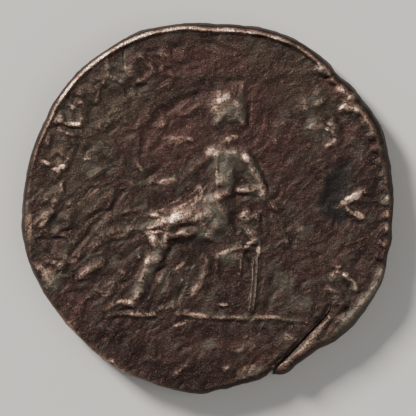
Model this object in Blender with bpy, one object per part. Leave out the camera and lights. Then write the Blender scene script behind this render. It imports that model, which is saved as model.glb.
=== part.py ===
# A worn silver denarius that lies on its portrait side, with the seated figure up.
# Metres, +Z up. The origin is the middle of the underside, and +Y is the figure's up.

import math

import bmesh
import bpy
import numpy as np

MM = 0.001

# The flan, the hammered blank
FLAN_WIDTH = 18.0 * MM  # greatest width
FLAN_THICKNESS = 1.24 * MM  # from field to field
OBVERSE_BEVEL = 0.20 * MM  # how far the portrait side ends inside the outline
EDGE_MIDDLE = 0.42  # height of the widest line, as a share of the edge
OUTLINE_MARKS = (  # degrees from +X, and radius as a share of half the width
    (0, 0.997), (8, 0.998), (15, 1.007), (24, 1.027), (30, 1.025), (35, 1.011), (40, 1.013), (45, 0.999),
    (51, 1.013), (61, 1.020), (70, 1.014), (80, 0.999), (88, 0.991), (100, 1.003), (112, 1.016),
    (125, 1.010), (135, 1.011), (145, 1.006), (152, 0.994), (163, 0.995), (172, 0.991), (180, 0.996),
    (188, 1.008), (195, 1.006), (205, 0.993), (215, 0.985), (225, 0.977), (233, 0.983), (241, 0.991),
    (250, 0.985), (258, 0.991), (267, 0.998), (275, 0.975), (281, 0.961), (286, 0.962), (290, 0.951),
    (295, 0.984), (301, 0.963), (306, 0.961), (315, 0.990), (325, 1.005), (338, 1.015), (346, 0.997),
    (350, 1.004), (355, 0.994),
)
REVERSE_BEVEL = 0.50 * MM  # the same on the figure side, where it is widest
REVERSE_BEVEL_MARKS = (  # degrees, and share of that bevel
    (0, 0.5), (20, 0.85), (32, 1.0), (45, 0.75), (60, 0.6), (88, 0.72), (100, 0.5), (112, 0.55),
    (125, 0.42), (145, 0.5), (180, 0.5), (190, 0.42), (210, 0.3), (225, 0.14), (255, 0.2), (275, 0.45),
    (300, 0.9), (320, 0.8), (338, 0.35), (350, 0.4),
)

# The raised rim on both sides
RIM_WIDTH = 0.30 * MM
RIM_RISE = 0.13 * MM
REVERSE_RIM_MARKS = (  # degrees, and share of the rise that is left
    (0, 0.3), (45, 0.5), (65, 1.0), (140, 1.0), (170, 0.6), (200, 0.4), (260, 0.3), (330, 0.5),
)

# The relief, and how deep the wear plane lies over each field
REVERSE_RELIEF = 0.34 * MM  # the figure's full height before wear
REVERSE_WORN = 0.28 * MM  # the flat worn top over the figure side's field
OBVERSE_RELIEF = 0.26 * MM
OBVERSE_WORN = 0.20 * MM  # the flat worn top under the portrait side's field
FLAT_REACH = 0.012 * MM  # points this near a worn plane belong to it

# The seated figure. Places are hundredths of its height, from the ground line under the shoulders
FIGURE_HEIGHT = 11.2 * MM
FIGURE_X = 0.0 * MM
FIGURE_Y = -5.2 * MM

# Each stroke has a start, an end, half its width at both and its height as a share of the relief
FIGURE_STROKES = (
    ("hair", (6.8, 94.2), (12.2, 92.4), 4.2, 4.6, 0.80),
    ("hair at the nape", (13.2, 91.0), (14.8, 84.0), 3.4, 2.6, 0.60),
    ("cheek", (9.2, 90.5), (8.6, 86.0), 4.8, 3.8, 0.70),
    ("neck", (10.2, 84.0), (9.8, 76.0), 2.7, 3.8, 0.44),
    ("collar", (2.5, 70.0), (17.5, 68.8), 4.0, 4.0, 0.62),
    ("chest", (9.6, 73.0), (8.4, 62.0), 7.2, 6.4, 0.74),
    ("waist", (8.4, 62.0), (4.5, 52.0), 5.8, 7.2, 0.78),
    ("near shoulder", (17.0, 69.0), (17.8, 66.6), 4.2, 3.8, 0.92),
    ("near upper arm", (17.8, 67.0), (23.0, 53.6), 3.2, 2.8, 0.78),
    ("near elbow", (23.0, 53.4), (23.2, 50.8), 3.2, 2.7, 0.94),
    ("near forearm", (22.6, 52.6), (12.5, 54.2), 2.7, 2.3, 0.72),
    ("far upper arm", (2.5, 70.0), (-7.5, 61.0), 3.4, 2.8, 0.46),
    ("far forearm", (-7.5, 61.0), (-17.0, 57.6), 2.7, 2.4, 0.36),
    ("dish in the hand", (-18.0, 57.2), (-23.0, 57.6), 2.8, 3.4, 0.38),
    ("lap", (5.0, 49.5), (-6.0, 42.0), 7.8, 6.2, 0.96),
    ("upper thigh", (-2.0, 45.0), (-20.0, 39.6), 5.2, 4.6, 1.0),
    ("hip drapery", (5.5, 45.0), (-1.0, 36.5), 7.0, 5.4, 0.78),
    ("lower thigh", (-1.0, 39.0), (-16.0, 34.2), 4.4, 3.2, 0.76),
    ("knee", (-21.2, 37.4), (-20.4, 32.5), 5.0, 4.6, 0.92),
    ("shin", (-20.6, 32.5), (-30.5, 9.0), 4.0, 2.5, 0.78),
    ("heel", (-30.6, 7.6), (-32.6, 5.2), 2.6, 2.4, 0.66),
    ("foot", (-32.6, 5.6), (-43.4, 3.0), 2.5, 1.8, 0.42),
    ("hanging drapery", (-6.0, 30.0), (-11.0, 7.5), 7.6, 6.6, 0.30),
    ("inner fold", (-1.4, 20.0), (-8.2, 7.0), 2.3, 2.0, 0.44),
    ("middle fold", (-10.5, 23.0), (-13.5, 9.0), 2.1, 1.8, 0.40),
    ("outer fold", (-18.5, 20.5), (-20.5, 8.0), 2.0, 1.6, 0.32),
    ("far foot", (-11.0, 4.6), (-19.5, 3.0), 2.0, 1.4, 0.38),
)
SEAT_STROKES = (
    ("seat rail, front", (4.5, 26.2), (14.2, 29.0), 2.3, 2.2, 0.40),
    ("seat rail, back", (14.2, 29.0), (22.0, 31.4), 2.1, 2.0, 0.38),
    ("rear leg, outer edge", (22.3, 31.6), (19.6, 1.2), 1.4, 1.4, 0.42),
    ("rear leg, inner edge", (19.5, 24.5), (17.4, 1.2), 1.4, 1.4, 0.36),
    ("inner upright", (14.6, 26.5), (13.7, 18.0), 1.4, 1.2, 0.28),
    ("front leg", (4.0, 25.6), (3.2, 10.0), 1.5, 1.3, 0.24),
    ("horn", (17.0, 43.4), (18.2, 34.0), 4.6, 4.2, 0.64),
)
GROUND_STROKES = (  # the exergue line, with its gap
    ("left stretch", (-41.6, 0.4), (-22.5, 0.4), 1.7, 1.8, 0.30),
    ("middle stretch", (-13.0, 0.6), (0.5, -0.6), 1.8, 1.8, 0.30),
    ("right stretch", (0.5, -0.6), (41.6, -3.0), 1.8, 1.6, 0.27),
)
FACE_HEIGHT = 13.4  # top of the hair to the chin, in the same hundredths
FACE_TOP = (7.4, 97.2)
FACE_STROKES = (  # across and down in shares of the face height: plain thirds, seen from the side
    ("brow", (-0.10, -0.33), (-0.14, -0.40), 0.15, 0.13, 0.56),
    ("nose", (-0.15, -0.44), (-0.22, -0.58), 0.11, 0.11, 0.54),
    ("lips", (-0.13, -0.70), (-0.15, -0.74), 0.11, 0.11, 0.46),
    ("chin", (-0.07, -0.86), (-0.10, -0.90), 0.13, 0.12, 0.50),
)

# Worn ridges and lumps of the striking, away from the figure: two ends and half the width
# in shares of half the flan's width, and the height as a share of the relief
FIELD_STROKES = (
    ("lump under the dish", (-0.30, -0.04), (-0.24, -0.06), 0.045, 0.045, 0.36),
    ("left ridge", (-0.72, -0.16), (-0.44, 0.03), 0.045, 0.060, 0.20),
    ("low left ridge", (-0.66, -0.36), (-0.36, -0.16), 0.045, 0.055, 0.20),
    ("long left ridge", (-0.55, 0.10), (-0.18, 0.42), 0.045, 0.055, 0.16),
    ("upper left ridge", (-0.24, 0.36), (-0.10, 0.37), 0.034, 0.030, 0.22),
    ("ridge beside the shin", (-0.50, -0.46), (-0.40, -0.30), 0.045, 0.040, 0.20),
    ("upper right lump", (0.54, 0.58), (0.56, 0.50), 0.075, 0.070, 0.22),
    ("right lump", (0.60, 0.44), (0.66, 0.38), 0.070, 0.065, 0.26),
    ("right shoulder", (0.78, 0.62), (0.86, 0.52), 0.085, 0.075, 0.36),
    ("lower left patch", (-0.86, -0.32), (-0.80, -0.40), 0.080, 0.080, 0.32),
    ("ridge along the flap", (0.46, -0.80), (0.76, -0.52), 0.060, 0.060, 0.30),
)
HOLLOWS = (  # the same, sunk
    ("groove left of the head", (-0.40, 0.28), (-0.06, 0.68), 0.045, 0.040, 0.22),
    ("shadow behind the arm", (0.14, 0.22), (0.18, 0.12), 0.040, 0.035, 0.30),
    ("hollow under the thigh", (-0.10, -0.20), (-0.02, -0.20), 0.040, 0.045, 0.30),
    ("hollow by the knee", (-0.17, -0.28), (-0.15, -0.34), 0.030, 0.030, 0.24),
    ("dark patch at the right", (0.66, 0.20), (0.62, -0.02), 0.055, 0.060, 0.20),
)

# The legend, worn to short strokes that spell nothing. Degrees, radius as a share of half
# the flan's width, slant of the stroke from the radius, and length as a share of LEGEND_LENGTH
LEGEND_LENGTH = 1.45 * MM
LEGEND_WIDTH = 0.50 * MM
LEGEND_RISE = 0.11 * MM
REVERSE_LEGEND = (
    (118, 0.87, 12, 0.5), (125, 0.84, 20, 0.7), (137, 0.85, 40, 0.4), (148, 0.86, 32, 0.6),
    (155, 0.82, 30, 0.4), (164, 0.84, 15, 0.8), (173, 0.87, 20, 0.4), (184, 0.88, 46, 1.0),
    (194, 0.85, 30, 0.5), (203, 0.88, 34, 0.8),
    (50, 0.80, 20, 0.5), (40, 0.76, 44, 0.4), (33, 0.72, 50, 0.6),
    (3.5, 0.82, 22, 0.9), (-4, 0.81, 8, 0.5), (-26, 0.78, 30, 0.6), (-29, 0.89, -20, 0.4),
)
OBVERSE_LEGEND_RADIUS = 7.1 * MM
OBVERSE_LEGEND_COUNT = 22
OBVERSE_LEGEND_ARC = (20.0, 340.0)  # degrees, open under the bust
OBVERSE_LEGEND_SLANT = 58.0  # degrees, the most that a stroke leans
OBVERSE_SLANT_STEP = 2.4  # radians of the wave that the lean follows, from one stroke to the next
OBVERSE_LENGTH_STEP = 1.7  # the same for the length
OBVERSE_LENGTH_SPREAD = 0.25  # half of how much the length changes, as a share of LEGEND_LENGTH

# The dotted border
BEAD_WIDTH = 0.42 * MM
BEAD_RISE = 0.12 * MM
BEAD_PITCH = 0.64 * MM
BORDER_INSET = 0.30 * MM  # the border is a true circle, this much smaller than half the flan's width
REVERSE_BORDER_ARC = (-16.0, 50.0)  # degrees where beads are left
OBVERSE_BORDER_ARC = (-150.0, 170.0)

# The portrait side's bust, facing +X. Places are hundredths of its height, from its foot
BUST_HEIGHT = 11.8 * MM
BUST_X = -0.4 * MM
BUST_Y = -6.1 * MM
BUST_STROKES = (
    ("crown", (-6.0, 74.0), (-1.0, 76.0), 21.0, 20.0, 0.74),
    ("temple", (3.0, 74.0), (6.0, 66.0), 15.0, 13.0, 0.82),
    ("cheek", (2.0, 64.0), (6.0, 56.0), 14.0, 10.0, 0.90),
    ("jaw", (-3.0, 53.0), (11.0, 47.5), 7.5, 5.5, 0.84),
    ("brow", (13.5, 76.0), (16.0, 72.5), 5.0, 4.4, 0.74),
    ("nose", (16.5, 69.5), (20.5, 62.5), 3.3, 3.2, 0.74),
    ("upper lip", (16.5, 57.8), (17.2, 56.4), 3.4, 3.0, 0.66),
    ("lower lip", (15.8, 54.0), (16.2, 53.0), 3.2, 3.0, 0.64),
    ("chin", (13.0, 48.5), (13.8, 46.8), 5.0, 4.6, 0.72),
    ("neck", (-5.0, 50.0), (-6.0, 24.0), 11.0, 13.0, 0.92),
    ("nape", (-19.0, 68.0), (-15.0, 50.0), 8.0, 5.0, 0.72),
    ("chest", (-8.0, 20.0), (8.0, 16.0), 14.0, 11.0, 0.84),
    ("far shoulder", (-10.0, 18.0), (-27.0, 11.0), 11.0, 6.0, 0.78),
    ("near shoulder", (8.0, 16.0), (21.0, 10.0), 9.0, 5.0, 0.74),
    ("ear", (-5.0, 66.5), (-4.0, 61.5), 3.4, 2.6, 1.0),
)
LEAF_COUNT = 9  # pointed leaves round the crown
WREATH_START = (-22.0, 64.0)
WREATH_END = (11.0, 80.0)
WREATH_BOW = 9.0  # how far the wreath arches over the crown
LEAF_REACH = (4.0, 6.0)
LEAF_WIDTH = 2.4
LOCK_COUNT = 8  # short locks of hair under the wreath
LOCK_WIDTH = 2.0
LOCK_MIDDLE = (-4.0, 70.0)  # the point that the locks fan out from
LOCK_REACH = (9.0, 15.0)  # their roots and tips, from that point
LOCK_ARC = (200.0, 50.0)  # degrees from +X
LOCK_LEAN = 0.35  # how far a tip is turned on from its root, in radians
FOLD_COUNT = 5  # slanting folds across the shoulders
FOLD_WIDTH = 2.2
FIRST_FOLD = ((-22.0, 8.0), (-14.0, 22.0))  # foot and head
LAST_FOLD = ((12.0, 10.0), (12.0, 18.0))

# The flan crack, which opens at the lower edge and dies out inside the right edge:
# degrees, radius as a share of half the width, and full gap as a share of CRACK_GAP
CRACK_GAP = 0.24 * MM
CRACK_MARKS = (
    (286.6, 1.060, 1.15), (290.1, 0.956, 0.95), (292.0, 0.933, 0.80), (296.1, 0.910, 0.62),
    (299.8, 0.894, 0.50), (303.1, 0.880, 0.46), (309.7, 0.861, 0.42), (313.4, 0.857, 0.36),
    (317.1, 0.857, 0.30), (319.8, 0.852, 0.21), (322.7, 0.835, 0.08),
)
LIP_RISE = 0.09 * MM  # the metal outside the crack stands this much higher
LIP_WIDTH = 0.9 * MM

# The mesh before and after thinning
FACE_SQUARE_COUNT = 190  # squares across each side
EDGE_ROW_COUNT = 7  # rows down the edge
THINNED_SHARE = 0.0612
SOFT_UNION = 3.5  # how sharply neighbouring forms meet
RISE_SHAPE = 1.7  # steepness of a form's sides
SHARP_ANGLE = math.radians(38)

HALF_WIDTH = FLAN_WIDTH / 2
OBVERSE_FIELD = OBVERSE_WORN
REVERSE_FIELD = OBVERSE_WORN + FLAN_THICKNESS


def around(marks, degrees):
    """The value of marks at each angle, easing from one mark to the next."""
    angles = np.array([mark[0] for mark in marks], dtype=float)
    values = np.array([mark[1] for mark in marks], dtype=float)
    angles = np.append(angles, angles[0] + 360.0)
    values = np.append(values, values[0])
    turned = np.mod(degrees - angles[0], 360.0) + angles[0]
    before = np.clip(np.searchsorted(angles, turned, side="right") - 1, 0, len(angles) - 2)
    share = (turned - angles[before]) / (angles[before + 1] - angles[before])
    eased = (1.0 - np.cos(np.pi * share)) / 2.0
    return values[before] + (values[before + 1] - values[before]) * eased


def stroke_rise(x, y, start, end, half_start, half_end):
    """A tapering rounded ridge: 1 along its middle line, falling to 0 at its sides."""
    run_x = end[0] - start[0]
    run_y = end[1] - start[1]
    along = ((x - start[0]) * run_x + (y - start[1]) * run_y) / (run_x**2 + run_y**2)
    along = np.clip(along, 0.0, 1.0)
    away = np.hypot(x - start[0] - along * run_x, y - start[1] - along * run_y)
    half = half_start + (half_end - half_start) * along
    return np.clip(1.0 - (away / half) ** 2, 0.0, 1.0) ** RISE_SHAPE


def joined(rises):
    """Several rises made one form, with soft joints between them."""
    total = sum(rise**SOFT_UNION for rise in rises)
    return total ** (1.0 / SOFT_UNION)


def placed(strokes, x, y, middle, unit, height):
    """The rise of a list of strokes whose places are counted in unit from middle."""
    along_x = (x - middle[0]) / unit
    along_y = (y - middle[1]) / unit
    rises = []
    for _name, start, end, half_start, half_end, share in strokes:
        rises.append(height * share * stroke_rise(along_x, along_y, start, end, half_start, half_end))
    return joined(rises)


def legend_rise(x, y, places):
    """Short strokes round the coin. Each place is an angle, a radius, a slant and a length."""
    rises = []
    for degrees, radius, slant, length in places:
        middle_x = radius * math.cos(math.radians(degrees))
        middle_y = radius * math.sin(math.radians(degrees))
        reach_x = math.cos(math.radians(degrees + slant)) * length / 2
        reach_y = math.sin(math.radians(degrees + slant)) * length / 2
        start = (middle_x - reach_x, middle_y - reach_y)
        end = (middle_x + reach_x, middle_y + reach_y)
        half = LEGEND_WIDTH / 2
        rises.append(LEGEND_RISE * stroke_rise(x, y, start, end, half, half))
    return joined(rises)


def bead_rise(degrees, radius, arc):
    """A circle of round beads, between the two angles of arc."""
    row_radius = HALF_WIDTH - BORDER_INSET
    pitch = math.degrees(BEAD_PITCH / row_radius)
    turned = np.mod(degrees - arc[0] + pitch / 2, 360.0) - pitch / 2
    count = int((arc[1] - arc[0]) / pitch)
    nearest = np.clip(np.round(turned / pitch), 0, count)
    along = np.radians(turned - nearest * pitch) * row_radius
    away = np.hypot(along, radius - row_radius) / (BEAD_WIDTH / 2)
    return BEAD_RISE * np.clip(1.0 - away**2, 0.0, 1.0)


def rim_rise(radius, end_radius, share):
    """The raised rim: highest at the face's end and gone one rim width inside it."""
    inward = np.clip((end_radius - radius) / RIM_WIDTH, 0.0, 1.0)
    return RIM_RISE * share * np.cos(inward * np.pi / 2) ** 2


def lip_rise(x, y):
    """The lifted metal outside the crack, a band that follows it at half its own width."""
    rises = []
    for first, second in zip(CRACK_MARKS[1:-1], CRACK_MARKS[2:]):
        start = polar(first[0], HALF_WIDTH * first[1] + LIP_WIDTH / 2)
        end = polar(second[0], HALF_WIDTH * second[1] + LIP_WIDTH / 2)
        rises.append(LIP_RISE * stroke_rise(x, y, start, end, LIP_WIDTH * 0.75, LIP_WIDTH * 0.75))
    return joined(rises)


def polar(degrees, radius):
    """The point at an angle and a radius."""
    return radius * math.cos(math.radians(degrees)), radius * math.sin(math.radians(degrees))


def reverse_height(x, y, degrees, radius, end_radius):
    """The figure side's height over the resting plane."""
    middle = (FIGURE_X, FIGURE_Y)
    unit = FIGURE_HEIGHT / 100.0
    face_unit = FACE_HEIGHT * unit
    face_top = (middle[0] + FACE_TOP[0] * unit, middle[1] + FACE_TOP[1] * unit)
    legend = [
        (degree, share * HALF_WIDTH, slant, length * LEGEND_LENGTH)
        for degree, share, slant, length in REVERSE_LEGEND
    ]
    raised = joined([
        placed(FIGURE_STROKES, x, y, middle, unit, REVERSE_RELIEF),
        placed(SEAT_STROKES, x, y, middle, unit, REVERSE_RELIEF),
        placed(GROUND_STROKES, x, y, middle, unit, REVERSE_RELIEF),
        placed(FACE_STROKES, x, y, face_top, face_unit, REVERSE_RELIEF),
        placed(FIELD_STROKES, x, y, (0.0, 0.0), HALF_WIDTH, REVERSE_RELIEF),
        legend_rise(x, y, legend),
        bead_rise(degrees, radius, REVERSE_BORDER_ARC),
        rim_rise(radius, end_radius, around(REVERSE_RIM_MARKS, degrees)),
        lip_rise(x, y),
    ])
    sunk = placed(HOLLOWS, x, y, (0.0, 0.0), HALF_WIDTH, REVERSE_RELIEF)
    return REVERSE_FIELD + np.minimum(raised, REVERSE_WORN) - sunk


def between(first, last, share):
    """The point at a share of the way from first to last."""
    return first[0] + (last[0] - first[0]) * share, first[1] + (last[1] - first[1]) * share


def carved_strokes():
    """The wreath's leaves in a bow over the crown, the locks under it, and the cloak's folds."""
    strokes = []
    for leaf in range(LEAF_COUNT):
        share = leaf / (LEAF_COUNT - 1)
        x, y = between(WREATH_START, WREATH_END, share)
        y += WREATH_BOW * math.sin(math.pi * share)
        tip = (x + LEAF_REACH[0], y + LEAF_REACH[1])
        strokes.append(("leaf", (x, y), tip, LEAF_WIDTH, LEAF_WIDTH / 2, 0.90))
    for lock in range(LOCK_COUNT):
        turn = math.radians(LOCK_ARC[0] + (LOCK_ARC[1] - LOCK_ARC[0]) * lock / (LOCK_COUNT - 1))
        root_x = LOCK_MIDDLE[0] + LOCK_REACH[0] * math.cos(turn)
        root_y = LOCK_MIDDLE[1] + LOCK_REACH[0] * math.sin(turn)
        tip_x = LOCK_MIDDLE[0] + LOCK_REACH[1] * math.cos(turn + LOCK_LEAN)
        tip_y = LOCK_MIDDLE[1] + LOCK_REACH[1] * math.sin(turn + LOCK_LEAN)
        strokes.append(("lock", (root_x, root_y), (tip_x, tip_y), LOCK_WIDTH, LOCK_WIDTH / 2, 0.80))
    for fold in range(FOLD_COUNT):
        share = fold / (FOLD_COUNT - 1)
        foot = between(FIRST_FOLD[0], LAST_FOLD[0], share)
        head = between(FIRST_FOLD[1], LAST_FOLD[1], share)
        strokes.append(("fold", foot, head, FOLD_WIDTH, FOLD_WIDTH / 2, 0.90))
    return strokes


def obverse_legend():
    """The portrait side's legend, a ring of strokes whose slant changes from one to the next."""
    places = []
    start, end = OBVERSE_LEGEND_ARC
    for index in range(OBVERSE_LEGEND_COUNT):
        degrees = 270.0 + start + (end - start) * index / (OBVERSE_LEGEND_COUNT - 1)
        slant = OBVERSE_LEGEND_SLANT * math.sin(OBVERSE_SLANT_STEP * index)
        wave = math.cos(OBVERSE_LENGTH_STEP * index)
        length = LEGEND_LENGTH * (1.0 - OBVERSE_LENGTH_SPREAD + OBVERSE_LENGTH_SPREAD * wave)
        places.append((degrees, OBVERSE_LEGEND_RADIUS, slant, length))
    return places


def obverse_height(x, y, degrees, radius, end_radius):
    """The portrait side's height over the resting plane, where its worn tops are flat."""
    middle = (BUST_X, BUST_Y)
    unit = BUST_HEIGHT / 100.0
    bust = placed(BUST_STROKES, x, y, middle, unit, OBVERSE_RELIEF)
    carved = placed(carved_strokes(), x, y, middle, unit, OBVERSE_RELIEF)
    raised = joined([
        bust,
        carved,
        legend_rise(x, y, obverse_legend()),
        bead_rise(degrees, radius, OBVERSE_BORDER_ARC),
        rim_rise(radius, end_radius, OBVERSE_RELIEF / RIM_RISE),
    ])
    return OBVERSE_FIELD - np.minimum(raised, OBVERSE_WORN)


def subdivided_block():
    """A cube of unit half width, cut into even squares on both faces and rows down its sides."""
    block = bmesh.new()
    bmesh.ops.create_cube(block, size=2.0)
    upright = [edge for edge in block.edges if abs(edge.verts[0].co.z - edge.verts[1].co.z) > 1.0]
    bmesh.ops.subdivide_edges(block, edges=upright, cuts=EDGE_ROW_COUNT - 1, use_grid_fill=True)
    level = [edge for edge in block.edges if abs(edge.verts[0].co.z - edge.verts[1].co.z) < 0.001]
    bmesh.ops.subdivide_edges(block, edges=level, cuts=FACE_SQUARE_COUNT - 1, use_grid_fill=True)
    bmesh.ops.triangulate(block, faces=block.faces)
    mesh = bpy.data.meshes.new("denarius")
    block.to_mesh(mesh)
    block.free()
    return mesh


def square_to_disc(across, up):
    """Turns a point of the square into an angle and a share of the disc's radius."""
    share = np.maximum(np.abs(across), np.abs(up))
    safe = np.where(share > 0.0, share, 1.0)
    wide = np.abs(across) >= np.abs(up)
    lean = np.where(wide, up, across) / safe * (math.pi / 4)
    sideways = np.where(across > 0, lean, math.pi - lean)
    upright = np.where(up > 0, math.pi / 2 - lean, lean - math.pi / 2)
    turn = np.where(wide, sideways, upright)
    return np.degrees(turn), share


def strike(mesh):
    """Moves the block's points onto the coin: outline, edge and the relief of both sides."""
    points = np.empty(len(mesh.vertices) * 3)
    mesh.vertices.foreach_get("co", points)
    points = points.reshape(-1, 3)
    degrees, share = square_to_disc(points[:, 0], points[:, 1])
    rise = (points[:, 2] + 1.0) / 2.0
    turn = np.radians(degrees)
    outline = HALF_WIDTH * around(OUTLINE_MARKS, degrees)
    reverse_bevel = REVERSE_BEVEL * around(REVERSE_BEVEL_MARKS, degrees)
    reverse_end = outline - reverse_bevel
    obverse_end = outline - OBVERSE_BEVEL
    over = np.clip((rise - EDGE_MIDDLE) / (1.0 - EDGE_MIDDLE), 0.0, 1.0)
    under = np.clip((EDGE_MIDDLE - rise) / EDGE_MIDDLE, 0.0, 1.0)
    edge_radius = outline - reverse_bevel * (1.0 - np.sqrt(1.0 - over**2))
    edge_radius -= OBVERSE_BEVEL * (1.0 - np.sqrt(1.0 - under**2))
    on_top = rise > 0.999
    below = rise < 0.001
    top_radius = reverse_end * share
    base_radius = obverse_end * share
    radius = np.where(on_top, top_radius, np.where(below, base_radius, edge_radius))
    across = np.cos(turn)
    up = np.sin(turn)
    top = reverse_height(top_radius * across, top_radius * up, degrees, top_radius, reverse_end)
    base = obverse_height(base_radius * across, base_radius * up, degrees, base_radius, obverse_end)
    points[:, 0] = radius * across
    points[:, 1] = radius * up
    points[:, 2] = base + (top - base) * rise
    mesh.vertices.foreach_set("co", points.ravel())
    mesh.update()


def thinned(coin):
    """Thins the mesh where it is smooth, then puts the worn flats exactly on their planes."""
    thinning = coin.modifiers.new("thinning", "DECIMATE")
    thinning.ratio = THINNED_SHARE
    bpy.context.view_layer.update()
    mesh = bpy.data.meshes.new_from_object(coin.evaluated_get(bpy.context.evaluated_depsgraph_get()))
    coin.modifiers.clear()
    coin.data = mesh
    for vertex in mesh.vertices:
        for level in (0.0, REVERSE_FIELD + REVERSE_WORN):
            if abs(vertex.co.z - level) < FLAT_REACH:
                vertex.co.z = level
    mesh.update()


def crack_cutter(collection):
    """A wedge through the whole thickness along the crack, which closes at its inner end."""
    left = []
    right = []
    middles = [polar(mark[0], HALF_WIDTH * mark[1]) for mark in CRACK_MARKS]
    for index, mark in enumerate(CRACK_MARKS):
        before = middles[max(index - 1, 0)]
        after = middles[min(index + 1, len(middles) - 1)]
        run_x = after[0] - before[0]
        run_y = after[1] - before[1]
        length = math.hypot(run_x, run_y)
        half = CRACK_GAP * mark[2] / 2
        x, y = middles[index]
        left.append((x - run_y / length * half, y + run_x / length * half))
        right.append((x + run_y / length * half, y - run_x / length * half))
    curve = bpy.data.curves.new("crack", "CURVE")
    curve.dimensions = "2D"
    curve.fill_mode = "BOTH"
    curve.extrude = FLAN_THICKNESS * 1.5
    outline = left + right[::-1]
    spline = curve.splines.new("POLY")
    spline.points.add(len(outline) - 1)
    for point, (x, y) in zip(spline.points, outline):
        point.co = (x, y, 0.0, 1.0)
    spline.use_cyclic_u = True
    drawn = bpy.data.objects.new("crack_outline", curve)
    drawn.location.z = (REVERSE_FIELD + OBVERSE_FIELD) / 2
    collection.objects.link(drawn)
    bpy.context.view_layer.update()
    mesh = bpy.data.meshes.new_from_object(drawn.evaluated_get(bpy.context.evaluated_depsgraph_get()))
    solid = bmesh.new()
    solid.from_mesh(mesh)
    bmesh.ops.remove_doubles(solid, verts=solid.verts, dist=0.000001)
    bmesh.ops.recalc_face_normals(solid, faces=solid.faces)
    solid.to_mesh(mesh)
    solid.free()
    cutter = bpy.data.objects.new("crack_cutter", mesh)
    cutter.matrix_world = drawn.matrix_world
    cutter.hide_render = True
    cutter.display_type = "WIRE"
    collection.objects.link(cutter)
    bpy.data.objects.remove(drawn)
    return cutter


def toned_silver():
    """Silver under a dark, reddish brown tone."""
    material = bpy.data.materials.new("toned_silver")
    material.use_nodes = True
    shader = material.node_tree.nodes["Principled BSDF"]
    shader.inputs["Base Color"].default_value = (0.052, 0.031, 0.027, 1.0)
    shader.inputs["Roughness"].default_value = 0.42
    shader.inputs["Metallic"].default_value = 0.75
    return material


def build():
    """Makes the coin and its cutter, each in its own collection."""
    for old in list(bpy.data.objects):
        bpy.data.objects.remove(old)
    scene = bpy.context.scene
    coins = bpy.data.collections.new("denarius")
    cutters = bpy.data.collections.new("cutters")
    scene.collection.children.link(coins)
    scene.collection.children.link(cutters)
    mesh = subdivided_block()
    strike(mesh)
    coin = bpy.data.objects.new("denarius", mesh)
    coins.objects.link(coin)
    thinned(coin)
    coin.data.materials.append(toned_silver())
    coin.data.shade_smooth()
    coin.data.set_sharp_from_angle(angle=SHARP_ANGLE)
    crack = coin.modifiers.new("crack", "BOOLEAN")
    crack.operation = "DIFFERENCE"
    crack.solver = "EXACT"
    crack.object = crack_cutter(cutters)


build()
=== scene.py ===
import math

import bpy
import numpy as np
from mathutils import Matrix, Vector


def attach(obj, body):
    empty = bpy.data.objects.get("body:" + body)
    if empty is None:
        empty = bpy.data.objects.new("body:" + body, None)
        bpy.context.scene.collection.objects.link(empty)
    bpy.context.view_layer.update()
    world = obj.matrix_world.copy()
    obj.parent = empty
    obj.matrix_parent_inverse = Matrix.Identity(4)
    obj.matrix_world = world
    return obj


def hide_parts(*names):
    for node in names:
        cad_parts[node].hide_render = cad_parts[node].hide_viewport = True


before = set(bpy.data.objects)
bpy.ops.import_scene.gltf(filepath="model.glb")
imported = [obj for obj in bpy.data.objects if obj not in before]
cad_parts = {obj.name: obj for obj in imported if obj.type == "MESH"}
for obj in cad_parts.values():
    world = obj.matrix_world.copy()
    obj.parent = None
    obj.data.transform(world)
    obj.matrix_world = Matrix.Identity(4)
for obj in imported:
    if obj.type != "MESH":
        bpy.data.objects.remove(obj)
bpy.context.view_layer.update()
print("stage: frame loaded")

# A worn denarius under a dark tone, lying with its seated figure up.
# Places and sizes are in mm, +X and +Y are the figure's right and up as seen from above, and angles
# are in degrees from +X where nothing else is said.
mm = 0.001
softUnion = 2.6  # strokes that meet are added through this power, and a higher one keeps them sharper
latticeSide = 256  # values along each side of a noise table, which then repeats
latticeShift = 50  # keeps the corner of a noise table off the coin


def softStep(value, low, high):
    share = np.clip((value - low) / (high - low), 0.0, 1.0)
    return share * share * (3.0 - 2.0 * share)


def union(*parts):
    return sum(part**softUnion for part in parts) ** (1 / softUnion)


def polar(degrees, radius):
    return radius * math.cos(math.radians(degrees)), radius * math.sin(math.radians(degrees))


def between(first, last, share):
    return tuple(start + (end - start) * share for start, end in zip(first, last))


# A value read from marks of (degrees, value), eased from each mark to the next all the way round
def around(marks, degrees):
    angles, values = np.array(marks, dtype=float).T
    angles = np.append(angles, angles[0] + 360.0)
    values = np.append(values, values[0])
    turned = np.mod(degrees - angles[0], 360.0) + angles[0]
    before = np.clip(np.searchsorted(angles, turned, side="right") - 1, 0, len(angles) - 2)
    share = (turned - angles[before]) / (angles[before + 1] - angles[before])
    eased = (1.0 - np.cos(np.pi * share)) / 2.0
    return values[before] + (values[before + 1] - values[before]) * eased


# Smooth seeded noise from -1 to 1, with one value to each whole step of u and v
def latticeNoise(u, v, seed):
    u = u + latticeShift
    v = v + latticeShift
    cellU = np.floor(u).astype(np.int64)
    cellV = np.floor(v).astype(np.int64)
    easeU = softStep(u - cellU, 0.0, 1.0)
    easeV = softStep(v - cellV, 0.0, 1.0)
    table = np.random.default_rng(seed).uniform(-1.0, 1.0, (latticeSide, latticeSide))

    def corner(stepU, stepV):
        return table[(cellU + stepU) % latticeSide, (cellV + stepV) % latticeSide]

    low = corner(0, 0) * (1 - easeU) + corner(1, 0) * easeU
    high = corner(0, 1) * (1 - easeU) + corner(1, 1) * easeU
    return low * (1 - easeV) + high * easeV


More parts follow.
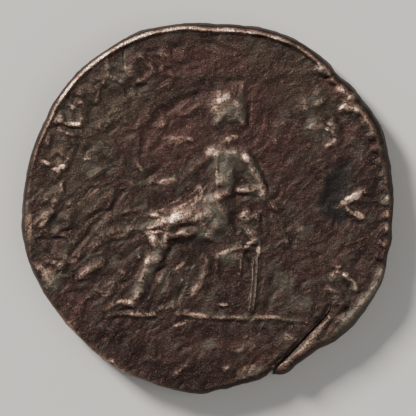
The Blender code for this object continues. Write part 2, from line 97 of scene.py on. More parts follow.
# Noise in patches, a row for each size: size in mm, strength, seed
def patches(x, y, rows):
    return sum(strength * latticeNoise(x / size, y / size, seed) for size, strength, seed in rows)


# A stroke's rounded shape from 0 to 1, between two ends with a half width at each
def strokeShape(x, y, start, end, halfStart, halfEnd, steep):
    runX = end[0] - start[0]
    runY = end[1] - start[1]
    along = np.clip(((x - start[0]) * runX + (y - start[1]) * runY) / (runX**2 + runY**2), 0.0, 1.0)
    away = np.hypot(x - start[0] - along * runX, y - start[1] - along * runY)
    half = halfStart + (halfEnd - halfStart) * along
    return np.clip(1.0 - (away / half) ** 2, 0.0, 1.0) ** steep


# Each stroke's window on the raster and its shape there, with what else its row holds
def laid(axes, places, groups, widen, steep, margin):
    for start, end, halfStart, halfEnd, *rest in (stroke for strokes in groups for stroke in strokes):
        reach = max(halfStart, halfEnd) * widen + margin
        window = []
        for side in (1, 0):
            ends = (min(start[side], end[side]) - reach, max(start[side], end[side]) + reach)
            window.append(slice(*np.searchsorted(axes[side], ends)))
        window = tuple(window)
        halves = (halfStart * widen, halfEnd * widen)
        yield window, strokeShape(places[0][window], places[1][window], start, end, *halves, steep), rest


def softened(field, blur, step):
    up = np.fft.fftfreq(field.shape[0], step)
    across = np.fft.fftfreq(field.shape[1], step)
    weight = np.exp(-2.0 * (np.pi * blur) ** 2 * (up[:, None] ** 2 + across[None, :] ** 2))
    return np.real(np.fft.ifft2(np.fft.fft2(field) * weight))


# A raster's height read at any place, straight between its four nearest values
def sampled(field, x, y, axis):
    step = axis[1] - axis[0]
    last = len(axis) - 1.001  # just short of the last value, which has no next one
    u = np.clip((x - axis[0]) / step, 0, last)
    v = np.clip((y - axis[0]) / step, 0, last)
    column = u.astype(int)
    row = v.astype(int)
    u = u - column
    v = v - row
    low = field[row, column] * (1 - u) + field[row, column + 1] * u
    high = field[row + 1, column] * (1 - u) + field[row + 1, column + 1] * u
    return low * (1 - v) + high * v


# How far the blow dragged each place sideways: size and reach in mm, seed
warp = {
    "across": ((0.80, 0.16, 41), (0.30, 0.07, 42)),
    "up": ((0.80, 0.16, 43), (0.30, 0.07, 44)),
}


def warped(x, y):
    return x + patches(x, y, warp["across"]), y + patches(x, y, warp["up"])


# The crumpled ground that striking and wear left: seed, turn, length, width and rise
ground = {
    "left": (
        (11, 38.0, 1.50, 0.80, 0.034),
        (12, 46.0, 0.80, 0.38, 0.029),
        (13, 40.0, 0.46, 0.21, 0.026),
        (14, 52.0, 0.22, 0.14, 0.019),
        (15, 10.0, 0.11, 0.09, 0.008),
    ),
    "right": (
        (21, 60.0, 1.40, 0.95, 0.030),
        (22, 50.0, 0.66, 0.42, 0.030),
        (23, 70.0, 0.34, 0.24, 0.022),
        (24, 20.0, 0.20, 0.15, 0.016),
        (25, 10.0, 0.12, 0.10, 0.007),
    ),
    "top": (
        (31, 14.0, 1.60, 0.70, 0.034),
        (32, 20.0, 0.80, 0.38, 0.034),
        (33, 6.0, 0.42, 0.22, 0.020),
        (34, 30.0, 0.20, 0.14, 0.015),
        (35, 10.0, 0.11, 0.09, 0.006),
    ),
    "upperLeft": (
        (51, 20.0, 0.95, 0.80, 0.036),
        (52, 40.0, 0.55, 0.42, 0.036),
        (53, 60.0, 0.30, 0.24, 0.028),
        (54, 10.0, 0.17, 0.14, 0.016),
        (55, 10.0, 0.11, 0.09, 0.008),
    ),
    "folds": 0.24,  # how much of the ground is creased rather than rolling
    "creaseSlope": 2.2,
    "calmOnFigure": (0.15, 0.16),  # share of the ground that is lost, at this height of the relief
    "leftFade": (-1.5, 1.5),  # where the left's creases give way to the right's
    "upperFade": (0.5, 3.5),  # where they give way to the upper left's
    "topFade": (4.0, 6.5),
    "topStart": (-5.0, -1.0),
    # Lumps that worn letters leave: radius, half width, first and last degrees, strength
    "bands": (
        (7.35, 0.85, 97.0, 150.0, 0.8), (7.45, 0.85, 150.0, 222.0, 0.8), (7.0, 0.9, 24.0, 52.0, 0.8),
        (7.2, 0.7, -38.0, -20.0, 0.8), (7.6, 0.6, 222.0, 262.0, 0.3), (7.4, 0.6, 262.0, 296.0, 0.3),
        (8.0, 0.55, 303.0, 338.0, 0.9),
    ),
    "bandFade": 4.0,
    "lumps": ((0.55, 1.0, 45), (0.275, 0.5, 46)),
    "lumpReach": (-0.6, 1.0),
    "lumpRise": 0.10,
}


def layeredNoise(x, y, layers):
    folds = ground["folds"]
    total = np.zeros_like(x)
    for seed, turn, long, wide, rise in layers:
        cosine, sine = polar(turn, 1.0)
        wave = latticeNoise((x * cosine + y * sine) / long, (y * cosine - x * sine) / wide, seed)
        creased = 1.0 - ground["creaseSlope"] * np.abs(wave)
        total += rise * (wave * (1.0 - folds) + creased * folds)
    return total


def groundRelief(x, y, warpX, warpY):
    left = softStep(-x, *ground["leftFade"])
    upper = softStep(y, *ground["upperFade"])
    top = softStep(y, *ground["topFade"]) * softStep(x, *ground["topStart"])
    shares = {
        "left": left * (1 - top) * (1 - upper),
        "upperLeft": left * (1 - top) * upper,
        "right": (1 - left) * (1 - top),
        "top": top,
    }
    texture = sum(layeredNoise(warpX, warpY, ground[name]) * share for name, share in shares.items())
    degrees = np.degrees(np.arctan2(y, x))
    radius = np.hypot(x, y)
    fade = ground["bandFade"]
    banded = np.zeros_like(x)
    for middle, half, first, last, strength in ground["bands"]:
        turned = np.mod(degrees - first, 360.0)
        inArc = softStep(turned, 0.0, fade) * (1 - softStep(turned, last - first - fade, last - first))
        banded = np.maximum(banded, strength * inArc * np.exp(-(((radius - middle) / half) ** 4)))
    lumps = np.clip(patches(warpX, warpY, ground["lumps"]), *ground["lumpReach"])
    return texture + ground["lumpRise"] * banded * lumps


# The seated figure. Each stroke: start, end, half widths, rise, and the strength of the highlight painted on
# it
figure = {
    "head": (
        ((0.62, 5.30), (1.20, 5.30), 0.42, 0.40, 0.150, 0.6),
        ((0.62, 5.12), (0.95, 5.40), 0.26, 0.24, 0.185, 0.8),
        ((1.48, 5.00), (1.62, 4.10), 0.25, 0.18, 0.130, 0.15),
        ((1.10, 4.90), (1.10, 4.50), 0.48, 0.42, 0.115, 0.10),
        ((0.82, 4.72), (0.42, 4.06), 0.23, 0.18, 0.130, 0.15),
        ((1.62, 5.05), (1.68, 6.00), 0.12, 0.07, 0.080, 0.10),
    ),
    "face": (
        ((0.60, 5.05), (0.54, 4.95), 0.17, 0.15, 0.15, 0.2),
        ((0.52, 4.88), (0.44, 4.70), 0.13, 0.13, 0.14, 0.3),
        ((0.54, 4.52), (0.50, 4.48), 0.12, 0.12, 0.12, 0.1),
        ((0.60, 4.28), (0.56, 4.24), 0.15, 0.14, 0.13, 0.2),
    ),
    "neck": (
        ((1.14, 3.95), (1.12, 3.45), 0.20, 0.28, 0.060, 0.1),
        ((0.75, 3.12), (1.18, 3.42), 0.20, 0.17, 0.110, 0.5),
    ),
    "torso": (
        ((0.10, 2.62), (0.60, 2.75), 0.24, 0.27, 0.130, 0.3),
        ((0.60, 2.75), (1.85, 2.50), 0.28, 0.28, 0.120, 0.2),
        ((0.34, 2.72), (0.40, 2.58), 0.18, 0.17, 0.160, 0.7),
        ((0.92, 2.35), (0.78, 1.45), 0.62, 0.46, 0.150, 0.15),
        ((0.40, 2.45), (0.42, 1.15), 0.10, 0.10, 0.120, 0.4),
        ((0.80, 1.35), (0.42, 0.50), 0.44, 0.50, 0.165, 0.3),
    ),
    "nearArm": (
        ((1.78, 2.54), (1.92, 2.36), 0.24, 0.24, 0.200, 0.8),
        ((1.98, 2.30), (2.58, 1.05), 0.25, 0.23, 0.175, 0.25),
        ((2.22, 1.55), (2.42, 1.40), 0.13, 0.11, 0.185, 0.5),
        ((2.58, 0.88), (2.56, 0.58), 0.25, 0.19, 0.200, 0.45),
        ((2.35, 0.86), (1.55, 0.86), 0.16, 0.14, 0.125, 0.5),
    ),
    "farArm": (
        ((0.20, 2.55), (-0.77, 1.85), 0.20, 0.17, 0.08, 0.25),
        ((-0.77, 1.85), (-1.55, 1.10), 0.17, 0.15, 0.06, 0.15),
    ),
    "lap": (
        ((0.50, 0.00), (0.05, -1.00), 0.66, 0.54, 0.205, 0.05),
        ((0.55, 0.66), (0.10, 0.20), 0.20, 0.20, 0.221, 0.8),
        ((-0.12, -0.02), (-0.66, -0.50), 0.22, 0.20, 0.215, 0.8),
        ((0.10, -0.30), (-0.50, -0.80), 0.26, 0.22, 0.190, 0.2),
        ((0.95, 0.75), (0.40, 0.20), 0.26, 0.24, 0.180, 0.35),
        ((-0.30, 0.95), (-0.22, 0.25), 0.16, 0.14, 0.107, 0.6),
    ),
    "nearThigh": (
        ((-0.45, -0.25), (-2.45, -0.86), 0.38, 0.24, 0.250, 0.9),
        ((-0.70, 0.02), (-1.90, -0.32), 0.42, 0.34, 0.170, 0.3),
        ((-2.00, -0.50), (-2.62, -0.36), 0.20, 0.16, 0.150, 0.5),
        ((-1.60, -0.35), (-1.20, -0.22), 0.10, 0.08, 0.250, 0.5),
    ),
    "farThigh": (
        ((-0.30, -0.80), (-1.80, -1.38), 0.30, 0.22, 0.184, 0.6),
        ((-0.30, -0.55), (-2.00, -1.08), 0.24, 0.18, 0.140, 0.1),
        ((-0.20, -0.95), (-1.00, -1.30), 0.24, 0.20, 0.140, 0.0),
    ),
    "knees": (
        ((-2.70, -1.20), (-2.52, -1.72), 0.24, 0.26, 0.212, 0.8),
        ((-1.95, -1.12), (-2.05, -1.72), 0.22, 0.24, 0.204, 0.5),
        ((-2.40, -1.10), (-2.30, -1.80), 0.36, 0.36, 0.178, 0.2),
    ),
    "shin": (
        ((-2.32, -1.80), (-2.64, -2.62), 0.36, 0.31, 0.184, 0.1),
        ((-2.64, -2.62), (-3.16, -3.52), 0.29, 0.25, 0.176, 0.15),
        ((-3.16, -3.52), (-3.45, -4.24), 0.25, 0.19, 0.160, 0.15),
        ((-2.82, -2.35), (-2.94, -2.75), 0.12, 0.10, 0.192, 0.8),
    ),
    "foot": (
        ((-3.50, -4.40), (-3.66, -4.62), 0.22, 0.20, 0.153, 0.3),
        ((-3.62, -4.62), (-4.25, -4.52), 0.15, 0.13, 0.119, 0.45),
        ((-4.25, -4.52), (-4.62, -4.70), 0.13, 0.11, 0.105, 0.35),
        ((-4.62, -4.70), (-4.98, -4.96), 0.11, 0.09, 0.095, 0.3),
    ),
    "skirt": (
        ((-0.90, -2.30), (-1.25, -4.40), 0.95, 1.00, 0.045, 0.0),
        ((-0.05, -2.55), (-0.16, -3.05), 0.24, 0.22, 0.083, 0.1),
        ((-0.16, -3.05), (-0.60, -3.98), 0.17, 0.15, 0.108, 0.25),
        ((-0.60, -3.98), (-0.88, -4.42), 0.19, 0.14, 0.098, 0.25),
        ((-1.18, -2.60), (-1.55, -2.98), 0.10, 0.09, 0.075, 0.4),
        ((-1.45, -3.08), (-1.10, -3.66), 0.18, 0.16, 0.098, 0.2),
        ((-2.28, -3.52), (-2.02, -3.12), 0.18, 0.14, 0.090, 0.2),
        ((-1.75, -3.30), (-1.85, -4.20), 0.20, 0.18, 0.068, 0.1),
    ),
    "farFoot": (
        ((-1.05, -4.72), (-2.20, -4.94), 0.13, 0.09, 0.056, 0.15),
    ),
}
seat = {
    "rail": (
        ((0.50, -2.26), (1.00, -2.03), 0.15, 0.14, 0.098, 0.5),
        ((1.00, -2.03), (1.62, -1.95), 0.14, 0.13, 0.098, 0.45),
        ((0.70, -2.35), (1.45, -2.40), 0.26, 0.24, 0.060, 0.05),
        ((1.75, -1.92), (2.45, -1.52), 0.08, 0.08, 0.068, 0.3),
    ),
    "posts": (
        ((0.47, -2.25), (0.42, -3.05), 0.11, 0.09, 0.063, 0.2),
        ((1.62, -2.15), (1.53, -3.20), 0.08, 0.07, 0.056, 0.2),
        ((2.49, -1.62), (2.46, -2.30), 0.08, 0.06, 0.070, 0.45),
        ((2.41, -2.20), (2.25, -4.40), 0.045, 0.045, 0.065, 0.35),
        ((2.25, -4.40), (2.20, -5.00), 0.045, 0.045, 0.055, 0.2),
        ((2.19, -2.40), (2.02, -4.95), 0.050, 0.050, 0.065, 0.3),
        ((2.30, -2.40), (2.12, -4.95), 0.090, 0.090, 0.030, 0.1),
    ),
    "horn": (
        ((1.94, -0.50), (1.98, -1.10), 0.36, 0.34, 0.150, 0.05),
        ((1.98, -1.10), (2.20, -1.60), 0.32, 0.20, 0.115, 0.0),
        ((1.60, -0.40), (1.95, -0.14), 0.11, 0.11, 0.150, 0.6),
        ((2.28, -0.35), (2.38, -0.75), 0.13, 0.12, 0.098, 0.1),
    ),
    "stub": (
        ((0.58, -4.66), (0.98, -4.66), 0.09, 0.08, 0.063, 0.45),
    ),
}
groundLine = {
    "stretches": (
        ((-4.80, -5.12), (-3.90, -5.10), 0.11, 0.12, 0.045, 0.1),
        ((-3.96, -5.15), (-2.55, -5.13), 0.13, 0.13, 0.090, 0.5),
        ((-1.45, -5.20), (-0.95, -5.06), 0.12, 0.12, 0.083, 0.4),
        ((-0.95, -5.15), (-0.05, -5.29), 0.16, 0.14, 0.080, 0.2),
        ((-0.05, -5.31), (2.20, -5.27), 0.12, 0.11, 0.060, 0.2),
        ((2.35, -5.25), (3.40, -5.29), 0.11, 0.10, 0.080, 0.25),
        ((3.40, -5.30), (4.75, -5.54), 0.11, 0.09, 0.075, 0.2),
        ((-1.70, -5.74), (-1.00, -5.54), 0.10, 0.08, 0.060, 0.3),
    ),
}

# The legend's worn strokes, which spell nothing
legend = {
    "left": (
        ((-4.92, 7.00), (-4.66, 6.32), 0.17, 0.17, 0.08, 0.25),
        ((-4.62, 6.18), (-4.25, 6.08), 0.15, 0.15, 0.07, 0.2),
        ((-4.22, 6.10), (-3.82, 6.38), 0.16, 0.15, 0.08, 0.25),
        ((-3.82, 6.45), (-3.95, 6.85), 0.14, 0.12, 0.06, 0.15),
        ((-5.55, 6.10), (-5.10, 6.30), 0.14, 0.14, 0.05, 0.15),
        ((-6.60, 4.90), (-6.50, 4.72), 0.12, 0.12, 0.08, 0.5),
        ((-7.32, 4.15), (-7.00, 4.30), 0.16, 0.14, 0.10, 0.45),
        ((-6.92, 4.04), (-6.05, 4.08), 0.09, 0.09, 0.10, 0.6),
        ((-7.12, 3.80), (-6.52, 3.58), 0.08, 0.07, 0.07, 0.35),
        ((-7.70, 3.15), (-7.60, 3.50), 0.14, 0.14, 0.07, 0.2),
        ((-7.98, 2.28), (-7.66, 2.08), 0.12, 0.12, 0.09, 0.5),
        ((-7.45, 1.84), (-7.26, 1.82), 0.12, 0.12, 0.08, 0.3),
        ((-7.12, 1.96), (-6.92, 2.02), 0.13, 0.13, 0.10, 0.6),
        ((-6.80, 2.28), (-6.70, 2.54), 0.11, 0.11, 0.08, 0.4),
        ((-6.00, 2.38), (-5.72, 2.38), 0.08, 0.08, 0.07, 0.5),
        ((-8.32, -0.92), (-7.56, -0.28), 0.15, 0.15, 0.12, 0.6),
        ((-7.46, -0.10), (-7.38, 0.36), 0.14, 0.13, 0.09, 0.35),
        ((-6.70, 0.08), (-6.40, 0.08), 0.08, 0.08, 0.06, 0.5),
        ((-8.05, -3.00), (-7.78, -3.32), 0.26, 0.28, 0.12, 0.45),
        ((-7.80, -3.45), (-7.40, -3.75), 0.26, 0.24, 0.11, 0.15),
        ((-7.62, -2.58), (-7.10, -2.62), 0.15, 0.14, 0.08, 0.4),
        ((-6.90, -3.20), (-6.60, -3.40), 0.20, 0.18, 0.10, 0.35),
    ),
    "right": (
        ((4.88, 5.50), (4.70, 4.85), 0.24, 0.22, 0.07, 0.1),
        ((5.25, 5.55), (5.30, 5.10), 0.18, 0.18, 0.07, 0.15),
        ((5.00, 3.85), (5.38, 4.10), 0.18, 0.18, 0.09, 0.3),
        ((5.50, 4.12), (5.95, 3.92), 0.18, 0.15, 0.10, 0.2),
        ((5.72, 3.02), (5.90, 3.10), 0.13, 0.12, 0.08, 0.5),
        ((6.05, 3.25), (6.15, 2.75), 0.14, 0.12, 0.07, 0.1),
        ((6.74, 0.36), (7.46, 0.82), 0.14, 0.13, 0.20, 1.0),
        ((6.86, -0.14), (7.26, -0.48), 0.15, 0.12, 0.15, 0.55),
        ((5.95, -3.45), (6.22, -3.24), 0.15, 0.15, 0.13, 0.3),
        ((6.46, -3.20), (6.68, -3.22), 0.16, 0.16, 0.13, 0.7),
        ((6.88, -3.36), (7.06, -3.60), 0.15, 0.15, 0.12, 0.25),
        ((7.12, -3.78), (7.20, -4.08), 0.15, 0.13, 0.11, 0.25),
        ((6.10, -2.86), (6.45, -2.80), 0.06, 0.06, 0.06, 0.6),
        ((5.95, -2.60), (6.25, -2.58), 0.06, 0.06, 0.05, 0.4),
    ),
}

# Ridges that the metal's flow and wear left in the field
flow = {
    "left": (
        ((-2.25, 3.22), (-0.86, 3.30), 0.10, 0.09, 0.08, 0.6),
        ((-2.80, 1.18), (-1.70, 1.32), 0.15, 0.12, 0.09, 0.35),
        ((-3.45, 2.20), (-3.28, 1.68), 0.15, 0.15, 0.08, 0.3),
        ((-1.25, 4.38), (-0.40, 5.00), 0.14, 0.12, 0.04, 0.0),
        ((-5.75, -0.25), (-4.45, 0.95), 0.16, 0.16, 0.06, 0.1),
        ((-5.05, -1.38), (-3.10, -0.85), 0.17, 0.15, 0.08, 0.3),
        ((-6.90, -2.62), (-6.10, -2.22), 0.14, 0.14, 0.06, 0.2),
        ((-5.40, -1.90), (-4.40, -1.40), 0.18, 0.16, 0.05, 0.1),
        ((-6.10, -3.05), (-4.95, -2.72), 0.14, 0.12, 0.09, 0.35),
        ((-4.90, -4.15), (-4.20, -3.20), 0.16, 0.15, 0.07, 0.15),
        ((-4.60, -4.62), (-4.10, -3.90), 0.12, 0.12, 0.05, 0.1),
        ((-5.30, -4.15), (-4.70, -4.15), 0.10, 0.10, 0.06, 0.35),
        ((-4.25, -3.02), (-4.10, -3.06), 0.10, 0.10, 0.08, 0.5),
        ((-3.15, -2.38), (-3.05, -2.44), 0.09, 0.09, 0.08, 0.6),
        ((-2.60, -0.30), (-2.45, -0.42), 0.14, 0.12, 0.11, 0.6),
        ((-4.20, -0.20), (-3.60, -0.05), 0.14, 0.12, 0.06, 0.2),
        ((-5.00, 0.10), (-4.60, 0.55), 0.18, 0.16, 0.05, 0.1),
        ((-5.60, 1.30), (-5.05, 1.95), 0.10, 0.10, 0.05, 0.2),
        ((-5.20, 1.05), (-4.80, 1.45), 0.07, 0.06, 0.05, 0.3),
        ((-3.60, 3.80), (-3.30, 4.10), 0.12, 0.12, 0.05, 0.3),
        ((-2.60, 4.00), (-2.10, 4.10), 0.12, 0.12, 0.05, 0.3),
        ((-3.40, 5.20), (-2.50, 6.05), 0.16, 0.14, 0.04, 0.1),
        ((-6.20, 5.40), (-5.30, 5.80), 0.12, 0.10, 0.05, 0.1),
        ((-4.00, 1.20), (-3.20, 1.00), 0.14, 0.12, 0.04, 0.1),
        ((-7.60, -1.20), (-6.60, -1.30), 0.16, 0.14, 0.05, 0.15),
        ((-5.60, -3.30), (-5.00, -3.80), 0.16, 0.14, 0.04, 0.0),
    ),
    "right": (
        ((6.30, 5.80), (6.60, 5.62), 0.18, 0.18, 0.10, 0.5),
        ((6.75, 5.62), (7.10, 5.36), 0.20, 0.20, 0.12, 0.7),
        ((6.38, 4.80), (6.60, 4.98), 0.13, 0.13, 0.07, 0.4),
        ((6.95, 4.86), (7.36, 4.72), 0.20, 0.20, 0.08, 0.3),
        ((7.45, 4.40), (8.05, 3.50), 0.22, 0.20, 0.06, 0.1),
        ((5.30, 6.80), (5.75, 6.62), 0.26, 0.24, 0.09, 0.2),
        ((5.90, 6.68), (6.20, 6.56), 0.14, 0.14, 0.08, 0.2),
        ((3.10, -0.55), (3.35, -1.25), 0.14, 0.12, 0.04, 0.1),
        ((3.60, -1.10), (3.90, -1.70), 0.14, 0.12, 0.05, 0.15),
        ((4.30, -0.95), (4.85, -0.85), 0.12, 0.10, 0.04, 0.2),
        ((3.30, 3.85), (3.70, 4.10), 0.12, 0.12, 0.04, 0.2),
        ((2.90, 3.40), (3.30, 3.20), 0.12, 0.12, 0.04, 0.2),
        ((3.20, 0.35), (3.45, 0.10), 0.09, 0.09, 0.05, 0.4),
    ),
    "flap": (
        ((3.30, -7.72), (4.35, -7.03), 0.16, 0.16, 0.120, 0.15),
        ((4.35, -7.03), (4.85, -6.35), 0.14, 0.12, 0.110, 0.15),
        ((4.85, -6.35), (5.60, -5.60), 0.12, 0.11, 0.080, 0.15),
        ((5.60, -5.60), (6.05, -4.90), 0.14, 0.12, 0.040, 0.1),
        ((4.55, -6.95), (5.50, -5.90), 0.09, 0.09, 0.080, 0.2),
        ((3.55, -7.95), (5.10, -7.00), 0.12, 0.11, 0.070, 0.15),
        ((5.10, -6.98), (6.20, -6.05), 0.13, 0.14, 0.090, 0.25),
        ((6.20, -6.05), (7.00, -5.20), 0.15, 0.18, 0.090, 0.15),
        ((7.00, -5.20), (7.70, -4.40), 0.20, 0.22, 0.095, 0.15),
        ((7.70, -4.40), (8.35, -3.10), 0.22, 0.18, 0.085, 0.1),
        ((6.70, -4.90), (7.40, -4.60), 0.11, 0.11, 0.050, 0.1),
    ),
    "exergue": (
        ((-1.28, -7.74), (-1.16, -7.62), 0.11, 0.10, 0.05, 0.2),
        ((-1.45, -7.95), (-1.35, -7.80), 0.09, 0.09, 0.05, 0.2),
        ((0.30, -7.68), (0.80, -7.70), 0.07, 0.07, 0.04, 0.2),
        ((0.92, -7.76), (1.02, -7.68), 0.09, 0.08, 0.08, 0.7),
        ((1.90, -7.10), (2.30, -6.60), 0.12, 0.10, 0.05, 0.1),
        ((1.10, -7.00), (1.45, -6.70), 0.12, 0.10, 0.05, 0.1),
        ((3.80, -6.20), (4.10, -6.40), 0.10, 0.10, 0.06, 0.3),
        ((-4.70, -7.40), (-4.50, -7.45), 0.13, 0.13, 0.08, 0.8),
        ((-2.00, -7.10), (-1.60, -6.90), 0.07, 0.06, 0.03, 0.1),
        ((0.10, -7.00), (0.45, -6.60), 0.20, 0.18, 0.04, 0.0),
    ),
}

# Hollows: start, end, half widths, depth
sunk = {
    "aroundFigure": (
        ((1.42, 1.85), (1.62, 1.20), 0.22, 0.26, 0.06),
        ((1.20, 0.62), (2.30, 0.48), 0.12, 0.12, 0.05),
        ((0.95, 3.98), (1.35, 4.00), 0.18, 0.18, 0.04),
        ((2.00, 5.00), (1.94, 4.10), 0.11, 0.10, 0.04),
        ((2.30, 2.50), (2.95, 0.95), 0.14, 0.13, 0.05),
        ((-2.90, -1.06), (-1.80, -1.12), 0.07, 0.07, 0.05),
        ((-1.80, -1.12), (-0.95, -0.84), 0.07, 0.06, 0.02),
        ((-0.85, -1.72), (-0.10, -1.66), 0.24, 0.26, 0.06),
        ((-1.75, -1.60), (-1.20, -1.78), 0.16, 0.16, 0.06),
        ((-1.90, -2.10), (-2.10, -2.90), 0.18, 0.16, 0.03),
        ((-2.35, -3.10), (-2.95, -4.30), 0.14, 0.13, 0.03),
        ((-1.06, -3.60), (-1.42, -4.50), 0.13, 0.14, 0.08),
        ((1.30, -0.30), (1.42, -1.10), 0.16, 0.15, 0.05),
        ((2.55, -0.40), (2.62, -1.20), 0.12, 0.12, 0.04),
        ((1.85, -2.20), (2.05, -2.60), 0.14, 0.12, 0.07),
        ((1.70, -1.84), (2.25, -1.78), 0.08, 0.08, 0.06),
        ((2.62, -2.20), (2.40, -4.85), 0.09, 0.09, 0.02),
        ((-4.60, -5.36), (-2.40, -5.36), 0.12, 0.12, 0.02),
        ((-1.20, -5.42), (4.60, -5.66), 0.12, 0.11, 0.02),
        ((-3.70, -4.86), (-4.60, -5.00), 0.08, 0.07, 0.03),
    ),
    "field": (
        ((-0.35, 5.55), (-1.40, 5.10), 0.20, 0.22, 0.06),
        ((-1.40, 5.10), (-2.40, 4.45), 0.22, 0.24, 0.07),
        ((-2.40, 4.45), (-3.00, 3.55), 0.24, 0.24, 0.07),
        ((-3.00, 3.55), (-3.20, 2.60), 0.22, 0.16, 0.05),
        ((-6.60, -2.15), (-5.30, -0.75), 0.16, 0.15, 0.06),
        ((-5.30, -0.75), (-4.10, 0.75), 0.15, 0.12, 0.06),
        ((-7.10, -4.00), (-5.80, -2.60), 0.14, 0.13, 0.04),
        ((-4.70, -1.70), (-3.50, -1.40), 0.16, 0.16, 0.06),
        ((-5.40, -3.10), (-4.90, -3.50), 0.22, 0.20, 0.05),
        ((-7.50, -0.55), (-7.00, -0.75), 0.24, 0.20, 0.08),
        ((-8.20, -1.55), (-7.10, -1.55), 0.12, 0.12, 0.05),
        ((-6.90, -2.05), (-6.60, -1.80), 0.14, 0.14, 0.05),
        ((-7.32, 2.36), (-7.10, 2.30), 0.22, 0.20, 0.08),
        ((-6.95, 3.92), (-6.20, 3.80), 0.10, 0.12, 0.05),
        ((-7.20, 4.62), (-6.50, 4.40), 0.20, 0.18, 0.05),
        ((-4.60, 6.60), (-4.20, 6.50), 0.16, 0.16, 0.05),
        ((-3.75, 5.75), (-3.20, 5.85), 0.30, 0.26, 0.05),
        ((-5.00, 2.30), (-4.60, 2.00), 0.26, 0.24, 0.05),
        ((5.55, 3.48), (5.90, 3.38), 0.18, 0.18, 0.06),
        ((6.50, 4.40), (7.00, 4.15), 0.26, 0.26, 0.03),
        ((6.45, 2.00), (5.95, 0.60), 0.34, 0.42, 0.05),
        ((5.95, 0.60), (6.40, -0.35), 0.42, 0.34, 0.05),
        ((7.40, 0.10), (8.20, 0.05), 0.20, 0.20, 0.06),
        ((6.20, -3.70), (6.80, -3.75), 0.26, 0.26, 0.05),
        ((5.62, 6.28), (6.48, 6.44), 0.06, 0.09, 0.13),
        ((-0.10, 7.95), (1.20, 7.55), 0.16, 0.20, 0.05),
    ),
    "besideCrack": (
        ((2.86, -7.95), (3.10, -7.72), 0.20, 0.16, 0.12),
        ((3.10, -7.72), (4.30, -6.60), 0.14, 0.14, 0.09),
        ((4.30, -6.60), (5.64, -5.22), 0.14, 0.13, 0.07),
        ((5.64, -5.22), (5.98, -4.45), 0.12, 0.09, 0.06),
        ((4.90, -6.75), (5.35, -6.20), 0.12, 0.14, 0.05),
        ((5.35, -6.20), (6.00, -5.50), 0.14, 0.16, 0.05),
        ((6.00, -5.50), (6.70, -4.90), 0.16, 0.16, 0.04),
    ),
    "cracksAndScratches": (
        ((-4.08, 8.05), (-4.04, 6.90), 0.035, 0.03, 0.06),
        ((-2.40, 5.98), (-1.85, 6.26), 0.03, 0.03, 0.03),
    ),
}

# Thin raised lines, with the strength of the highlight painted on them below: start, end, half widths, rise
scratches = {
    "lines": (
        ((-2.50, 5.74), (-1.90, 6.00), 0.035, 0.035, 0.04),
        ((6.55, -1.86), (7.50, -1.42), 0.035, 0.035, 0.035),
        ((8.02, -1.48), (8.22, -1.12), 0.03, 0.03, 0.035),
        ((4.60, 0.95), (5.10, 1.48), 0.03, 0.03, 0.03),
        ((-6.00, 0.40), (-5.55, 0.85), 0.04, 0.04, 0.04),
        ((-5.50, 1.05), (-5.25, 1.25), 0.035, 0.035, 0.04),
        ((-2.20, -1.02), (-1.00, -0.62), 0.03, 0.03, 0.03),
    ),
    "paintedShine": 0.7,
}

# The share of the warp that strokes follow, how much wider than named they are, and how steep
laying = {
    "figure": (0.45, 1.65, 2.0),
    "seat": (0.45, 1.5, 1.9),
    "field": (1.0, 1.5, 1.9),
    "posts": (0.2, 1.5, 1.6),
    "scratches": (0.45, 1.0, 1.0),
    "sunk": (0.45, 1.3, 1.4),
    "margin": 0.3,  # more than the warp moves any place
}
# How unevenly wear took the relief, and how far it softened it
worn = {"patches": ((0.45, 0.35, 51), (0.20, 0.21, 52)), "soften": 0.065}


def reverseRelief(axis):
    x, y = np.meshgrid(axis, axis)
    warpX, warpY = warped(x, y)
    raised = np.zeros_like(x)
    paintedShine = np.zeros_like(x)
    hollow = np.zeros_like(x)

    def lay(kind, groups):
        drift, widen, steep = laying[kind]
        places = (x + (warpX - x) * drift, y + (warpY - y) * drift)
        return laid((axis, axis), places, groups, widen, steep, laying["margin"])

    # A stroke's last number is the strength of the highlight painted along it
    def stamp(field, kind, groups):
        for window, shape, (rise, highlightShare) in lay(kind, groups):
            field[window] += (rise * shape) ** softUnion
            paintedShine[window] = np.maximum(paintedShine[window], highlightShare * shape)

    stamp(raised, "figure", figure.values())
    stamp(raised, "seat", (seat["rail"], seat["horn"], groundLine["stretches"]))
    stamp(raised, "field", (*legend.values(), *flow.values()))
    raised = raised ** (1 / softUnion) * (1.0 + patches(warpX, warpY, worn["patches"]))
    raised = np.maximum(softened(raised, worn["soften"], axis[1] - axis[0]), 0) ** softUnion
    stamp(raised, "posts", (seat["posts"], seat["stub"]))  # they stay crisper than the rest
    raised = raised ** (1 / softUnion)
    for window, shape, (rise,) in lay("scratches", (scratches["lines"],)):
        raised[window] += rise * shape
        paintedShine[window] = np.maximum(paintedShine[window], scratches["paintedShine"] * shape)
    for window, shape, (depth,) in lay("sunk", sunk.values()):
        hollow[window] = np.maximum(hollow[window], depth * shape)
    calm, full = ground["calmOnFigure"]
    texture = groundRelief(x, y, warpX, warpY) * (1.0 - calm * np.clip(raised / full, 0, 1))
    return {"axis": axis, "raised": raised, "ground": texture - hollow, "paintedShine": paintedShine}


